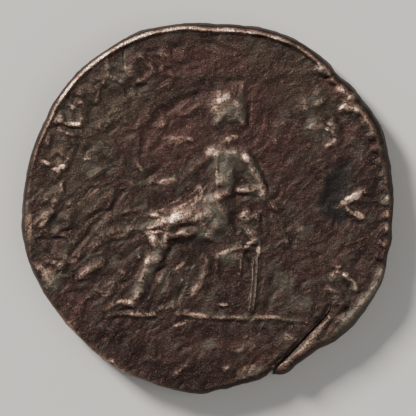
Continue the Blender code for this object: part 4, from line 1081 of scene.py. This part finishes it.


# Tints of the tone, and painted highlights and painted shade: x, y, half widths across and up, turn, strength
tints = {
    # Silver rubbed bare, with highlights painted where light catches the relief
    "rubbedAndPaintedHighlight": (
        (0.74, 5.28, 0.40, 0.20, 25, 1.0), (0.55, 5.08, 0.62, 0.50, 30, 0.45),
        (-0.60, 4.90, 0.70, 0.14, 32, 0.15), (-0.55, 0.35, 0.55, 0.07, 38, 0.45),
        (-0.95, 0.30, 0.45, 0.06, 35, 0.35), (-1.30, 0.10, 0.50, 0.07, 25, 0.40),
        (-0.20, 0.90, 0.35, 0.06, 50, 0.35), (-1.75, 0.25, 0.45, 0.06, 25, 0.25),
        (-0.75, 0.75, 0.40, 0.05, 40, 0.25), (-2.30, -0.10, 0.45, 0.06, 15, 0.35),
        (-1.10, 0.65, 0.35, 0.05, 30, 0.25), (-1.65, -0.50, 0.72, 0.20, 17, 1.0),
        (-1.55, -0.48, 1.00, 0.30, 17, 0.6), (-2.55, -0.88, 0.50, 0.09, 12, 0.6),
        (-1.20, -0.15, 1.10, 0.30, 15, 0.22), (-2.58, -0.34, 0.20, 0.12, 0, 0.6),
        (0.50, 0.55, 0.16, 0.14, 30, 0.9), (0.42, 0.52, 0.40, 0.30, 30, 0.4),
        (-0.14, 0.42, 0.12, 0.24, -15, 0.6), (-0.48, -0.40, 0.26, 0.14, 35, 0.8),
        (1.15, 2.66, 0.34, 0.12, -10, 0.4), (0.42, 1.60, 0.07, 0.60, 0, 0.4),
        (0.15, 2.70, 0.40, 0.26, 0, 0.4), (-2.66, -1.50, 0.18, 0.26, 20, 1.0),
        (-2.45, -1.12, 0.55, 0.12, 10, 0.7), (-2.92, -2.58, 0.14, 0.24, -15, 0.9),
        (-2.05, -1.45, 0.14, 0.30, 0, 0.5), (1.80, 0.84, 0.45, 0.13, 0, 0.7),
        (1.80, 2.46, 0.22, 0.16, 0, 0.9), (2.32, 1.45, 0.12, 0.14, 30, 0.5),
        (2.62, 0.72, 0.20, 0.20, 0, 0.6), (-1.35, -1.22, 0.50, 0.12, 28, 0.5),
        (1.72, -0.24, 0.22, 0.11, 30, 0.35), (1.64, -0.75, 0.07, 0.45, 0, 0.25),
        (0.38, 2.66, 0.16, 0.18, 0, 0.7), (0.98, 3.30, 0.14, 0.12, 0, 0.5),
        (1.30, 3.45, 0.14, 0.10, 0, 0.5), (-2.05, 1.26, 0.55, 0.16, 8, 0.5),
        (-1.50, 3.26, 0.75, 0.14, 4, 0.4), (0.90, -2.10, 0.50, 0.12, 15, 0.5),
        (2.05, -1.68, 0.45, 0.10, 35, 0.5), (2.44, -2.00, 0.12, 0.16, 0, 0.5),
        (-0.50, -3.85, 0.14, 0.50, -35, 0.35), (-1.35, -2.80, 0.26, 0.10, 40, 0.5),
        (-3.20, -5.14, 0.80, 0.10, 0, 0.5), (-0.60, -5.16, 0.60, 0.12, -8, 0.5),
        (1.50, -5.27, 0.60, 0.10, 0, 0.20), (2.90, -5.27, 0.60, 0.10, 0, 0.30),
        (-4.00, -4.52, 0.40, 0.10, 0, 0.5), (-4.75, -4.80, 0.30, 0.08, 35, 0.4),
        (0.78, -4.66, 0.25, 0.08, 0, 0.5), (-1.35, -5.62, 0.40, 0.08, 14, 0.4),
        (6.90, 0.45, 0.70, 0.16, 28, 1.0), (7.20, -0.30, 0.35, 0.14, -30, 0.6),
        (6.60, -3.20, 0.18, 0.14, 0, 0.9), (6.25, -3.30, 0.25, 0.08, 25, 0.4),
        (7.10, -3.80, 0.12, 0.30, 10, 0.4), (6.30, -2.84, 0.20, 0.07, 10, 0.6),
        (6.92, 5.45, 0.28, 0.18, -35, 0.9), (6.42, 5.72, 0.30, 0.16, -30, 0.5),
        (6.48, 4.90, 0.24, 0.09, 40, 1.0), (6.80, 5.05, 0.60, 0.38, -35, 0.30),
        (7.15, 4.80, 0.25, 0.14, -10, 0.6), (5.30, 3.95, 0.40, 0.20, 20, 0.4),
        (5.75, 3.86, 0.14, 0.14, 0, 0.8), (5.80, 3.05, 0.16, 0.08, 10, 0.5),
        (5.50, 6.72, 0.26, 0.12, -25, 0.3), (5.70, -6.45, 1.00, 0.10, 34, 0.10),
        (7.30, -4.85, 0.90, 0.12, 50, 0.15), (4.75, -6.50, 0.50, 0.08, 50, 0.2),
        (-6.50, 4.06, 0.50, 0.10, 0, 0.8), (-7.12, 4.20, 0.20, 0.14, 20, 0.6),
        (-6.80, 3.62, 0.35, 0.07, -20, 0.4), (-7.80, 2.20, 0.22, 0.09, -35, 0.8),
        (-7.02, 2.00, 0.16, 0.11, 15, 0.9), (-6.77, 2.42, 0.08, 0.16, -15, 0.6),
        (-5.85, 2.38, 0.22, 0.08, 0, 0.7), (-7.90, -0.65, 0.50, 0.13, 42, 0.8),
        (-6.52, 4.85, 0.12, 0.14, 0, 0.6), (-6.55, -2.55, 0.40, 0.14, 20, 0.4),
        (-7.45, -2.60, 0.30, 0.12, 0, 0.4), (-5.50, -2.82, 0.50, 0.12, 12, 0.4),
        (-4.95, -4.18, 0.25, 0.10, 0, 0.6), (-7.80, -3.20, 0.30, 0.30, 0, 0.5),
        (-4.30, -1.36, 0.50, 0.14, 15, 0.35), (-4.62, -7.38, 0.20, 0.10, -25, 0.6),
        (1.90, -7.78, 0.45, 0.20, 15, 0.25), (-7.36, 1.90, 0.22, 0.10, 0, 0.5),
        (-7.30, 2.40, 0.80, 0.50, 0, 0.10), (0.96, -7.72, 0.10, 0.07, 0, 0.45),
        (4.50, -7.00, 0.28, 0.10, 38, 0.8), (3.60, -7.52, 0.45, 0.12, 28, 0.3),
        (3.85, -6.25, 0.20, 0.10, 0, 0.3), (-8.60, -1.00, 0.12, 0.80, 0, 0.4),
        (7.95, 3.80, 0.20, 0.26, 30, 0.35), (8.32, 2.90, 0.16, 0.24, 20, 0.35),
        (8.50, 2.15, 0.14, 0.22, 12, 0.35), (8.58, 1.35, 0.13, 0.24, 8, 0.35),
        (8.66, 0.50, 0.12, 0.20, 3, 0.4), (8.68, -0.25, 0.11, 0.18, 0, 0.35),
        (8.62, -0.95, 0.12, 0.22, -6, 0.4), (8.50, -1.75, 0.12, 0.22, -10, 0.35),
        (-5.60, 0.70, 0.60, 0.08, 42, 0.3),
    ),
    "greyGreen": (
        (1.05, 4.62, 0.75, 0.62, 0, 0.7), (1.00, 2.15, 0.85, 0.80, 0, 0.9),
        (0.80, 1.40, 0.55, 0.60, 0, 0.9), (2.15, 1.75, 0.42, 0.95, 28, 0.8),
        (2.62, 0.70, 0.30, 0.40, 0, 0.6), (0.38, -0.25, 0.58, 1.00, 25, 1.0),
        (-0.10, -1.25, 0.75, 0.40, -20, 0.9), (1.94, -0.85, 0.38, 0.75, -6, 0.35),
        (1.50, -5.27, 1.80, 0.12, -1, 0.6), (3.70, -5.38, 1.20, 0.12, -10, 0.7),
        (-2.60, -2.60, 0.34, 1.10, -24, 0.8), (-3.30, -3.90, 0.30, 0.70, -18, 0.7),
        (0.60, 4.50, 0.26, 0.55, -20, 0.8), (1.55, 4.50, 0.30, 0.60, 10, 0.8),
        (0.85, -2.35, 0.60, 0.35, 0, 0.7), (2.28, -3.60, 0.16, 1.50, -5, 0.4),
        (-0.42, -3.55, 0.26, 0.80, -35, 0.45), (-1.30, -3.40, 0.40, 0.45, 0, 0.4),
        (1.60, 5.30, 0.22, 0.60, 0, 0.5), (-2.10, -3.40, 0.30, 0.40, 0, 0.5),
        (2.45, -1.95, 0.16, 0.35, 0, 0.5), (5.10, 4.00, 0.70, 0.45, 20, 0.6),
        (4.90, 5.20, 0.45, 0.55, 0, 0.5), (-7.50, -3.50, 0.60, 0.70, 0, 0.6),
        (7.20, 4.85, 0.50, 0.35, 0, 0.7), (-4.30, 6.60, 0.80, 0.75, 0, 0.4),
        (6.20, -3.36, 0.40, 0.20, 30, 0.9), (0.05, -6.55, 0.45, 0.35, 0, 0.6),
        (2.20, -7.85, 0.80, 0.22, 18, 0.7), (3.55, -6.30, 0.60, 0.25, 10, 0.5),
        (1.60, -7.15, 0.40, 0.30, 0, 0.4), (-1.60, -6.60, 0.70, 0.20, 10, 0.4),
        (3.60, -3.60, 0.60, 0.80, 0, 0.5), (4.30, -4.60, 0.90, 0.50, 15, 0.5),
        (3.10, -4.20, 0.30, 0.60, 0, 0.4), (4.60, -1.20, 0.45, 0.30, 30, 0.5),
        (3.90, 0.10, 0.35, 0.50, 0, 0.3), (7.06, -3.72, 0.20, 0.45, 15, 0.9),
        (5.55, 6.70, 0.50, 0.28, -25, 0.9), (5.65, -6.45, 0.90, 0.30, 33, 0.4),
        (6.75, -5.50, 0.90, 0.34, 46, 1.0), (7.75, -4.35, 0.90, 0.36, 56, 1.0),
        (8.30, -3.30, 0.60, 0.24, 72, 0.8), (8.35, 2.80, 0.25, 0.40, 15, 0.7),
        (8.55, 1.90, 0.20, 0.40, 8, 0.6), (8.62, 0.60, 0.16, 0.30, 0, 0.7),
        (8.65, -0.85, 0.16, 0.30, 0, 0.7), (7.80, 3.80, 0.50, 0.50, 0, 0.5),
        (5.60, 3.70, 0.75, 0.60, 0, 0.6), (7.20, 2.80, 0.40, 0.60, 0, 0.5),
        (3.70, 4.60, 0.30, 0.40, 0, 0.5), (4.90, 4.60, 0.30, 0.25, 0, 0.6),
        (-5.70, 1.90, 0.60, 0.60, 0, 0.5), (-6.80, 4.60, 0.50, 0.50, 0, 0.5),
        (-3.20, -0.90, 0.80, 0.50, 20, 0.4), (-1.50, -3.60, 1.00, 0.80, 0, 0.15),
    ),
    "olive": (
        (-5.00, 4.60, 2.60, 2.40, 35, 0.9), (3.20, 6.40, 2.60, 1.50, -20, 0.7),
        (-6.80, 1.20, 1.60, 2.60, 0, 0.8), (-5.40, -1.60, 2.00, 1.60, 0, 0.5),
        (0.80, 7.60, 1.10, 0.45, -10, 0.9), (2.30, 7.55, 1.60, 0.45, -6, 1.0),
        (-3.20, 5.70, 0.70, 0.50, 0, 1.0), (6.00, -2.80, 1.80, 1.40, 0, 0.4),
        (4.40, -6.60, 1.80, 0.60, 42, 0.5), (5.60, 5.60, 1.40, 1.20, 0, 0.5),
    ),
    "red": (
        (-0.80, 7.10, 3.40, 0.90, 4, 0.9), (1.20, 6.80, 2.00, 0.45, -12, 0.9),
        (-1.80, 3.60, 2.40, 1.90, 0, 0.9), (-0.80, -7.00, 4.60, 1.40, 0, 0.6),
        (2.80, 3.20, 2.20, 2.40, 0, 0.8), (6.80, 2.90, 1.60, 1.40, 0, 0.7),
        (4.20, 1.00, 1.60, 1.40, 0, 0.5), (3.80, 6.20, 1.80, 0.90, -28, 0.5),
        (5.30, -2.20, 2.20, 2.00, 0, 0.4), (2.20, 5.20, 1.60, 1.40, 0, 0.8),
        (6.00, 5.90, 0.90, 0.50, -20, 1.0), (-6.50, -5.00, 1.60, 1.00, -45, 0.5),
        (-0.20, 4.90, 1.20, 0.70, 0, 0.5),
    ),
    # Darker tone in places, and shade painted into hollows, along the crack, under the ground line and beside
    # the head, arm, seat and legs
    "deepToneAndShade": (
        (-1.50, -8.20, 2.60, 0.75, 0, 1.0), (0.20, -8.00, 3.60, 0.90, 0, 0.7),
        (-3.90, -6.60, 2.20, 1.10, -30, 0.8), (4.20, 1.20, 1.40, 2.40, 0, 0.25),
        (3.40, 5.20, 1.60, 1.20, -20, 0.3), (-0.80, -2.30, 0.90, 0.60, 0, 0.7),
        (1.20, -3.70, 0.80, 1.10, 0, 0.5), (7.70, 2.40, 0.80, 2.20, 0, 0.5),
        (1.10, 3.80, 0.80, 0.35, 0, 0.5), (-2.20, -2.80, 0.35, 0.90, -20, 0.35),
        (0.00, -6.00, 3.00, 0.35, 0, 0.5), (1.60, 1.60, 0.40, 0.50, 0, 0.6),
        (1.22, -0.50, 0.22, 0.75, 8, 0.5), (1.95, 4.60, 0.16, 0.80, 0, 0.5),
        (-2.20, 4.80, 1.60, 0.40, 40, 0.4), (3.75, -7.02, 0.95, 0.14, 43, 0.9),
        (2.90, -7.90, 0.40, 0.40, 0, 1.0), (5.15, -5.62, 1.00, 0.14, 47, 0.9),
        (5.60, -5.90, 0.90, 0.22, 47, 0.5), (5.85, 3.45, 0.35, 0.20, 0, 0.7),
        (2.80, 6.40, 1.60, 0.80, -20, 0.4), (6.20, 1.60, 0.60, 0.80, 0, 0.5),
        (6.05, 6.36, 0.50, 0.07, 12, 1.0), (-3.40, -4.90, 1.40, 0.18, 0, 0.6),
        (1.80, -5.60, 3.00, 0.20, -3, 0.4), (-2.00, -5.50, 2.60, 0.20, 0, 0.3),
        (2.95, -2.60, 0.30, 1.80, -4, 0.4),
    ),
    # Black-grey tone in places, and shade painted into hollows, the armpit, under the chin and beside the
    # head
    "charcoalToneAndShade": (
        (6.10, 0.95, 0.50, 1.25, -25, 1.0), (5.85, 0.45, 0.55, 0.60, 0, 1.0),
        (6.15, -0.30, 0.55, 0.50, 0, 1.0), (6.60, 1.90, 0.45, 0.60, -10, 0.7),
        (-7.35, -0.55, 0.45, 0.35, 0, 0.6), (1.50, 1.55, 0.26, 0.45, 0, 0.35),
        (-0.50, -1.75, 0.55, 0.26, 0, 0.5), (1.90, 4.60, 0.12, 0.60, 0, 0.4),
        (1.15, 4.02, 0.45, 0.14, 0, 0.3), (-3.00, 5.75, 0.50, 0.35, 0, 0.5),
    ),
}
# How far from its middle a spot begins to fade and ends, and how its border wavers: size and reach
tintEdge = {
    "charcoalToneAndShade": (0.75, 1.10),
    "other": (0.4, 1.3),
    "waver": ((0.5, 0.30), (0.2, 0.20)),
    "firstSeed": 70,
}


def maskOf(name, x, y, seed):
    rows = [(size, reach, seed + step) for step, (size, reach) in enumerate(tintEdge["waver"])]
    waver = patches(x, y, rows)
    near, far = tintEdge.get(name, tintEdge["other"])
    total = np.zeros_like(x)
    for middleX, middleY, wide, high, turn, strength in tints[name]:
        cosine, sine = polar(turn, 1.0)
        across = ((x - middleX) * cosine + (y - middleY) * sine) / wide
        up = ((y - middleY) * cosine - (x - middleX) * sine) / high
        away = np.hypot(across, up) + waver
        total = np.maximum(total, strength * (1 - softStep(away, near, far)))
    return total


# Wear, and the painted highlights and painted shade laid with it
wearAndPaintedLight = {
    "proud": ((0.22, 0.04), (0.70, 0.30)),  # blur that the relief is held against, and the height that counts
    "proudReach": (0.0, 2.0),  # how far a place stands proud where wear begins, and where it is full
    "facingUp": (0.0, 0.35),  # how squarely a place faces up where marks begin, and where they are full
    "faceHeight": 0.9,  # what lies higher belongs to the figure's side
    # share of each stroke's painted highlight that reaches the colour
    "strokeHighlight": 0.25,
    "rimLine": (0.02, 0.08),  # middle and half width of the rubbed line and its painted highlight, out from the rim's inner end
    "rimStrength": 1.1,
    "rimUneven": ((0.5, 0.5, 81), (0.18, 0.3, 82)),
    # Degrees, and the strength of the highlight painted on the rim line, strongest on the side towards the
    # key light
    "rimHighlight": (
        (0, 0.10), (20, 0.15), (34, 0.50), (42, 0.20), (50, 0.45), (57, 0.45), (62, 0.25), (66, 0.70),
        (72, 0.50), (84, 0.70), (90, 0.45), (95, 0.80), (100, 1.0), (130, 1.0), (136, 0.60), (141, 0.95),
        (147, 0.50), (155, 0.24), (170, 0.06), (185, 0.14), (200, 0.08), (225, 0.25), (240, 0.30),
        (262, 0.10), (300, 0.30), (312, 0.30), (330, 0.15),
    ),
    "edgeStart": (0.06, 0.16),  # out from the rim's inner end
    "edgeFoot": (0.25, 0.45),  # heights over which the side's painted shade begins and ends
    "edgeTop": (1.15, 1.30),
    "edgeShadeByAngle": (  # degrees, and how dark the shade painted on the edge is
        (0, 0.5), (30, 0.9), (90, 0.8), (130, 0.9), (155, 0.6), (190, 0.3), (240, 0.3), (270, 0.8),
        (292, 0.5), (305, 0.45), (325, 0.45), (338, 0.6), (350, 0.7),
    ),
}


# Where the coin is rubbed, worn or toned, where highlights are painted, and where shade is painted on its
# edge, kept on its points for the material to read
def setAttributes(coin, relief):
    shape = coin.data
    points = np.empty(len(shape.vertices) * 3)
    shape.vertices.foreach_get("co", points)
    x, y, z = points.reshape(-1, 3).T / mm
    normals = np.empty(len(shape.vertices) * 3)
    shape.vertices.foreach_get("normal", normals)
    axis = relief["axis"]
    height = relief["raised"] + relief["ground"]
    faceSide = z > wearAndPaintedLight["faceHeight"]
    onTop = softStep(normals[2::3], *wearAndPaintedLight["facingUp"]) * faceSide
    degrees = np.degrees(np.arctan2(y, x))
    outline, bevel = flanEnds(degrees)
    out = np.hypot(x, y) - (outline - bevel)
    middle, half = wearAndPaintedLight["rimLine"]
    # A rubbed line along the rim's crest, with a highlight painted on it
    atRim = (wearAndPaintedLight["rimStrength"] + patches(x, y, wearAndPaintedLight["rimUneven"])) * faceSide
    atRim *= np.exp(-(((out - middle) / half) ** 2)) * around(wearAndPaintedLight["rimHighlight"], degrees)
    # Painted highlights: the strokes' own, and the rim line's
    paintedShine = np.maximum(sampled(relief["paintedShine"], x, y, axis) * onTop * wearAndPaintedLight["strokeHighlight"], atRim)
    proud = sum(
        sampled(height - softened(height, blur, axis[1] - axis[0]), x, y, axis) / full
        for blur, full in wearAndPaintedLight["proud"]
    )
    wear = softStep(proud, *wearAndPaintedLight["proudReach"]) * onTop
    # Shade painted on the side and the outer bevel, darker on some sides than others
    onEdge = softStep(z, *wearAndPaintedLight["edgeFoot"]) * (1 - softStep(z, *wearAndPaintedLight["edgeTop"]))
    paintedEdgeShade = np.maximum(softStep(out, *wearAndPaintedLight["edgeStart"]), onEdge) * around(wearAndPaintedLight["edgeShadeByAngle"], degrees)
    values = {"paintedShine": paintedShine, "wear": wear, "paintedEdgeShade": paintedEdgeShade}
    for seed, name in enumerate(tints, tintEdge["firstSeed"]):
        values[name] = maskOf(name, x, y, seed) * onTop
    for name, value in values.items():
        layer = shape.attributes.new(name, "FLOAT", "POINT")
        layer.data.foreach_set("value", np.clip(value, 0, 1))


# An sRGB hex colour made linear, with its alpha
def linear(code):
    parts = [int(code[place : place + 2], 16) / 255 for place in (1, 3, 5)]
    return (*(part / 12.92 if part <= 0.04045 else ((part + 0.055) / 1.055) ** 2.4 for part in parts), 1.0)


look = {
    "colours": {
        "brown": "#413530", "brownDeep": "#2c2220", "greyGreen": "#6a685c", "olive": "#494137",
        # The second and third of these also paint shade
        "red": "#4f3734", "charcoalToneAndShade": "#2a2928", "deepToneAndShade": "#2b211f", "copper": "#b39887",
        # The first of these paints glints, and the two after it paint highlights
        "paintedGlint": "#9a7b6b", "rubbedAndPaintedHighlight": "#b5937f", "paintedHighlight": "#ffe2c8",
    },
    # Size in mm and detail. Pits finer than 0.05 mm, a pixel of the picture, wouldn't show, so the
    # grain is drawn a little coarser than that; the grain also paints small glints into the colour
    "patterns": {
        "mottle": (0.70, 5.0), "redBlots": (0.40, 5.0), "speckle": (0.105, 3.0), "grain": (0.065, 2.0),
    },
    "streakPatterns": {"streaks": (0.22, 4.0), "greyStreaks": (0.35, 5.0)},
    "streakTurn": 0.70,  # radians
    "streakStretch": 2.6,
    "patternRoughness": 0.6,
    # Laid over each other in this order: what shows it, from, to, least and most share, colour
    "layers": (
        ("mottle", 0.30, 0.62, 0.0, 1.0, "brown"),
        ("streaks", 0.52, 0.75, 0.0, 0.50, "brown"),
        ("greyStreaks", 0.49, 0.66, 0.0, 0.40, "greyGreen"),
        ("redBlots", 0.47, 0.64, 0.0, 0.45, "red"),
        ("olive", 0.0, 1.0, 0.0, 0.60, "olive"),
        ("red", 0.0, 1.0, 0.0, 0.60, "red"),
        ("greyGreen", 0.0, 1.0, 0.0, 0.70, "greyGreen"),
        # Darker tone, partly painted shade
        ("deepToneAndShade", 0.0, 1.0, 0.0, 0.75, "deepToneAndShade"),
        ("bare", 0.0, 1.0, 0.0, 0.52, "copper"),
        ("speckle", 0.25, 0.55, 0.45, 0.0, "brownDeep"),
        # Glints painted on the grain, in a pinkish colour
        ("grain", 0.56, 0.70, 0.0, 0.40, "paintedGlint"),
        # Black-grey tone, partly painted shade
        ("charcoalToneAndShade", 0.0, 1.0, 0.0, 0.80, "charcoalToneAndShade"),
        # Highlights painted on rubbed silver, first in a pink tone and then near-white
        ("polishedAndHighlit", 0.0, 0.55, 0.0, 0.90, "rubbedAndPaintedHighlight"),
        ("polishedAndHighlit", 0.35, 0.80, 0.0, 0.95, "paintedHighlight"),
        # Painted shade on the edge
        ("paintedEdgeShade", 0.0, 1.0, 0.0, 0.85, "deepToneAndShade"),
    ),
    "wornThrough": (0.35, 0.60, 0.0, 1.0),  # the speckle that bare metal shows through
    "highlightSpeckle": (0.31, 0.59, 0.22, 1.0),
    "highlightCore": (0.75, 1.0, 0.0, 0.65),  # where the painted highlight is strongest, and rubbing has taken the speckle away as well
    "metallic": 0.92,
    "roughness": (0.0, 1.0, 0.52, 0.24),  # from the tone to the polished metal
    "grainDepth": 0.036,
}


# Toned silver, struck and worn: the dark skin of tone is nearly matt and mottled brown, wine red, olive
# and grey green, and silver rubbed bare on the high points shows warm and smoother, with highlights and
# glints painted on it and shade painted dark in hollows and on the edge
def tonedSilver():
    material = bpy.data.materials.new("tonedSilver")
    material.use_nodes = True
    tree = material.node_tree
    shader = tree.nodes["Principled BSDF"]
    smooth = {"interpolation_type": "SMOOTHSTEP"}
    place = addNode(tree, "ShaderNodeTexCoord", output="Object")
    turn, stretch = (0.0, 0.0, look["streakTurn"]), (look["streakStretch"], 1.0, 1.0)
    streaked = addNode(
        tree, "ShaderNodeMapping", {"vector_type": "TEXTURE"},
        {"Vector": place, "Rotation": turn, "Scale": stretch},
    )
    seen = {}
    for vector, group in ((place, "patterns"), (streaked, "streakPatterns")):
        for name, (size, detail) in look[group].items():
            inputs = {"Scale": 1 / (size * mm), "Detail": detail, "Roughness": look["patternRoughness"]}
            seen[name] = addNode(tree, "ShaderNodeTexNoise", None, {"Vector": vector, **inputs})
    for name in ("paintedShine", "wear", "paintedEdgeShade", *tints):
        seen[name] = addNode(tree, "ShaderNodeAttribute", {"attribute_name": name}, None, "Fac")
    # Highlights are painted where the rubbed spots, the strokes and the rim line lie
    inputs = {0: seen["rubbedAndPaintedHighlight"], 1: seen["paintedShine"]}
    seen["lit"] = addNode(tree, "ShaderNodeMath", {"operation": "MAXIMUM"}, inputs)
    for name, source in (("wornThrough", "speckle"), ("highlightSpeckle", "speckle"), ("highlightCore", "lit")):
        seen[name] = addNode(tree, "ShaderNodeMapRange", smooth, dict(enumerate((seen[source], *look[name]))))
    for name, operation, first, second in (
        ("bare", "MULTIPLY", "wear", "wornThrough"),
        ("speckled", "MULTIPLY", "lit", "highlightSpeckle"),
        ("polishedAndHighlit", "MAXIMUM", "speckled", "highlightCore"),
        ("pits", "ADD", "speckle", "grain"),
    ):
        inputs = {0: seen[first], 1: seen[second]}
        seen[name] = addNode(tree, "ShaderNodeMath", {"operation": operation}, inputs)
    colours = {name: linear(code) for name, code in look["colours"].items()}
    colour = colours["brownDeep"]
    for name, low, high, least, most, tone in look["layers"]:
        inputs = {0: seen[name], 1: low, 2: high, 3: least, 4: most}
        share = addNode(tree, "ShaderNodeMapRange", smooth, inputs)
        inputs = {0: share, 6: colour, 7: colours[tone]}
        colour = addNode(tree, "ShaderNodeMix", {"data_type": "RGBA"}, inputs, 2)
    tree.links.new(colour, shader.inputs["Base Color"])
    shader.inputs["Metallic"].default_value = look["metallic"]
    inputs = dict(enumerate((seen["polishedAndHighlit"], *look["roughness"])))
    tree.links.new(addNode(tree, "ShaderNodeMapRange", smooth, inputs), shader.inputs["Roughness"])
    inputs = {"Strength": 1.0, "Distance": look["grainDepth"] * mm, "Height": seen["pits"]}
    tree.links.new(addNode(tree, "ShaderNodeBump", None, inputs), shader.inputs["Normal"])
    return material


# Floor, lights and camera, in metres where not in mm
studio = {
    "floorHalf": 0.6,
    "floorColour": "#d9d6d0",
    "floorRoughness": 0.9,
    "lights": {  # place, size and watts
        "keyLight": ((-0.34, 0.34, 0.28), 0.14, 5.4),
        "fillLight": ((0.30, -0.10, 0.40), 0.40, 0.8),
    },
    "lightColour": (1.0, 0.97, 0.93),
    "skyColour": (0.9, 0.93, 1.0, 1.0),
    "skyStrength": 0.19,
    "cameraHeight": 0.30,
    "cameraLens": 85.0,
    "cameraClip": (0.01, 10.0),
    "facePlane": 1.10,  # mm above the floor, where the photograph's scale is taken
    "photoPixels": 416,
    "coinPixels": 373,
}


def plainFloor():
    shape = bpy.data.meshes.new("floor")
    half = studio["floorHalf"]
    corners = [(-half, -half, 0), (half, -half, 0), (half, half, 0), (-half, half, 0)]
    shape.from_pydata(corners, [], [(0, 1, 2, 3)])
    material = bpy.data.materials.new("paleFloor")
    material.use_nodes = True
    shader = material.node_tree.nodes["Principled BSDF"]
    shader.inputs["Base Color"].default_value = linear(studio["floorColour"])
    shader.inputs["Roughness"].default_value = studio["floorRoughness"]
    shape.materials.append(material)
    floor = bpy.data.objects.new("floor", shape)
    bpy.context.scene.collection.objects.link(floor)


def addLights():
    for name, (place, size, watts) in studio["lights"].items():
        light = bpy.data.lights.new(name, "AREA")
        light.size = size
        light.energy = watts
        light.color = studio["lightColour"]
        lamp = bpy.data.objects.new(name, light)
        lamp.location = place
        lamp.rotation_euler = Vector(place).to_track_quat("Z", "Y").to_euler()
        bpy.context.scene.collection.objects.link(lamp)
    world = bpy.data.worlds.new("softWorld")
    world.use_nodes = True
    background = world.node_tree.nodes["Background"]
    background.inputs["Color"].default_value = studio["skyColour"]
    background.inputs["Strength"].default_value = studio["skyStrength"]
    bpy.context.scene.world = world


def addCamera():
    lens = bpy.data.cameras.new("camera")
    lens.lens = studio["cameraLens"]
    lens.clip_start, lens.clip_end = studio["cameraClip"]
    seen = 2 * flan["halfWidth"] * mm * studio["photoPixels"] / studio["coinPixels"]
    lens.sensor_width = lens.lens * seen / (studio["cameraHeight"] - studio["facePlane"] * mm)
    body = bpy.data.objects.new("camera", lens)
    body.location = (0.0, 0.0, studio["cameraHeight"])
    bpy.context.scene.collection.objects.link(body)
    bpy.context.scene.camera = body


block, relief = coinBlock()
coin = bpy.data.objects.new("denariusCoin", block)
bpy.context.scene.collection.objects.link(coin)
raiseRings(coin, tonedSilver())
thinAndCrack(coin)
setAttributes(coin, relief)
print("stage: coin of", sum(len(face.vertices) - 2 for face in coin.data.polygons), "triangles")
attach(coin, "root")
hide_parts("denarius")
plainFloor()
addLights()
addCamera()
print("stage: floor, lights and camera")
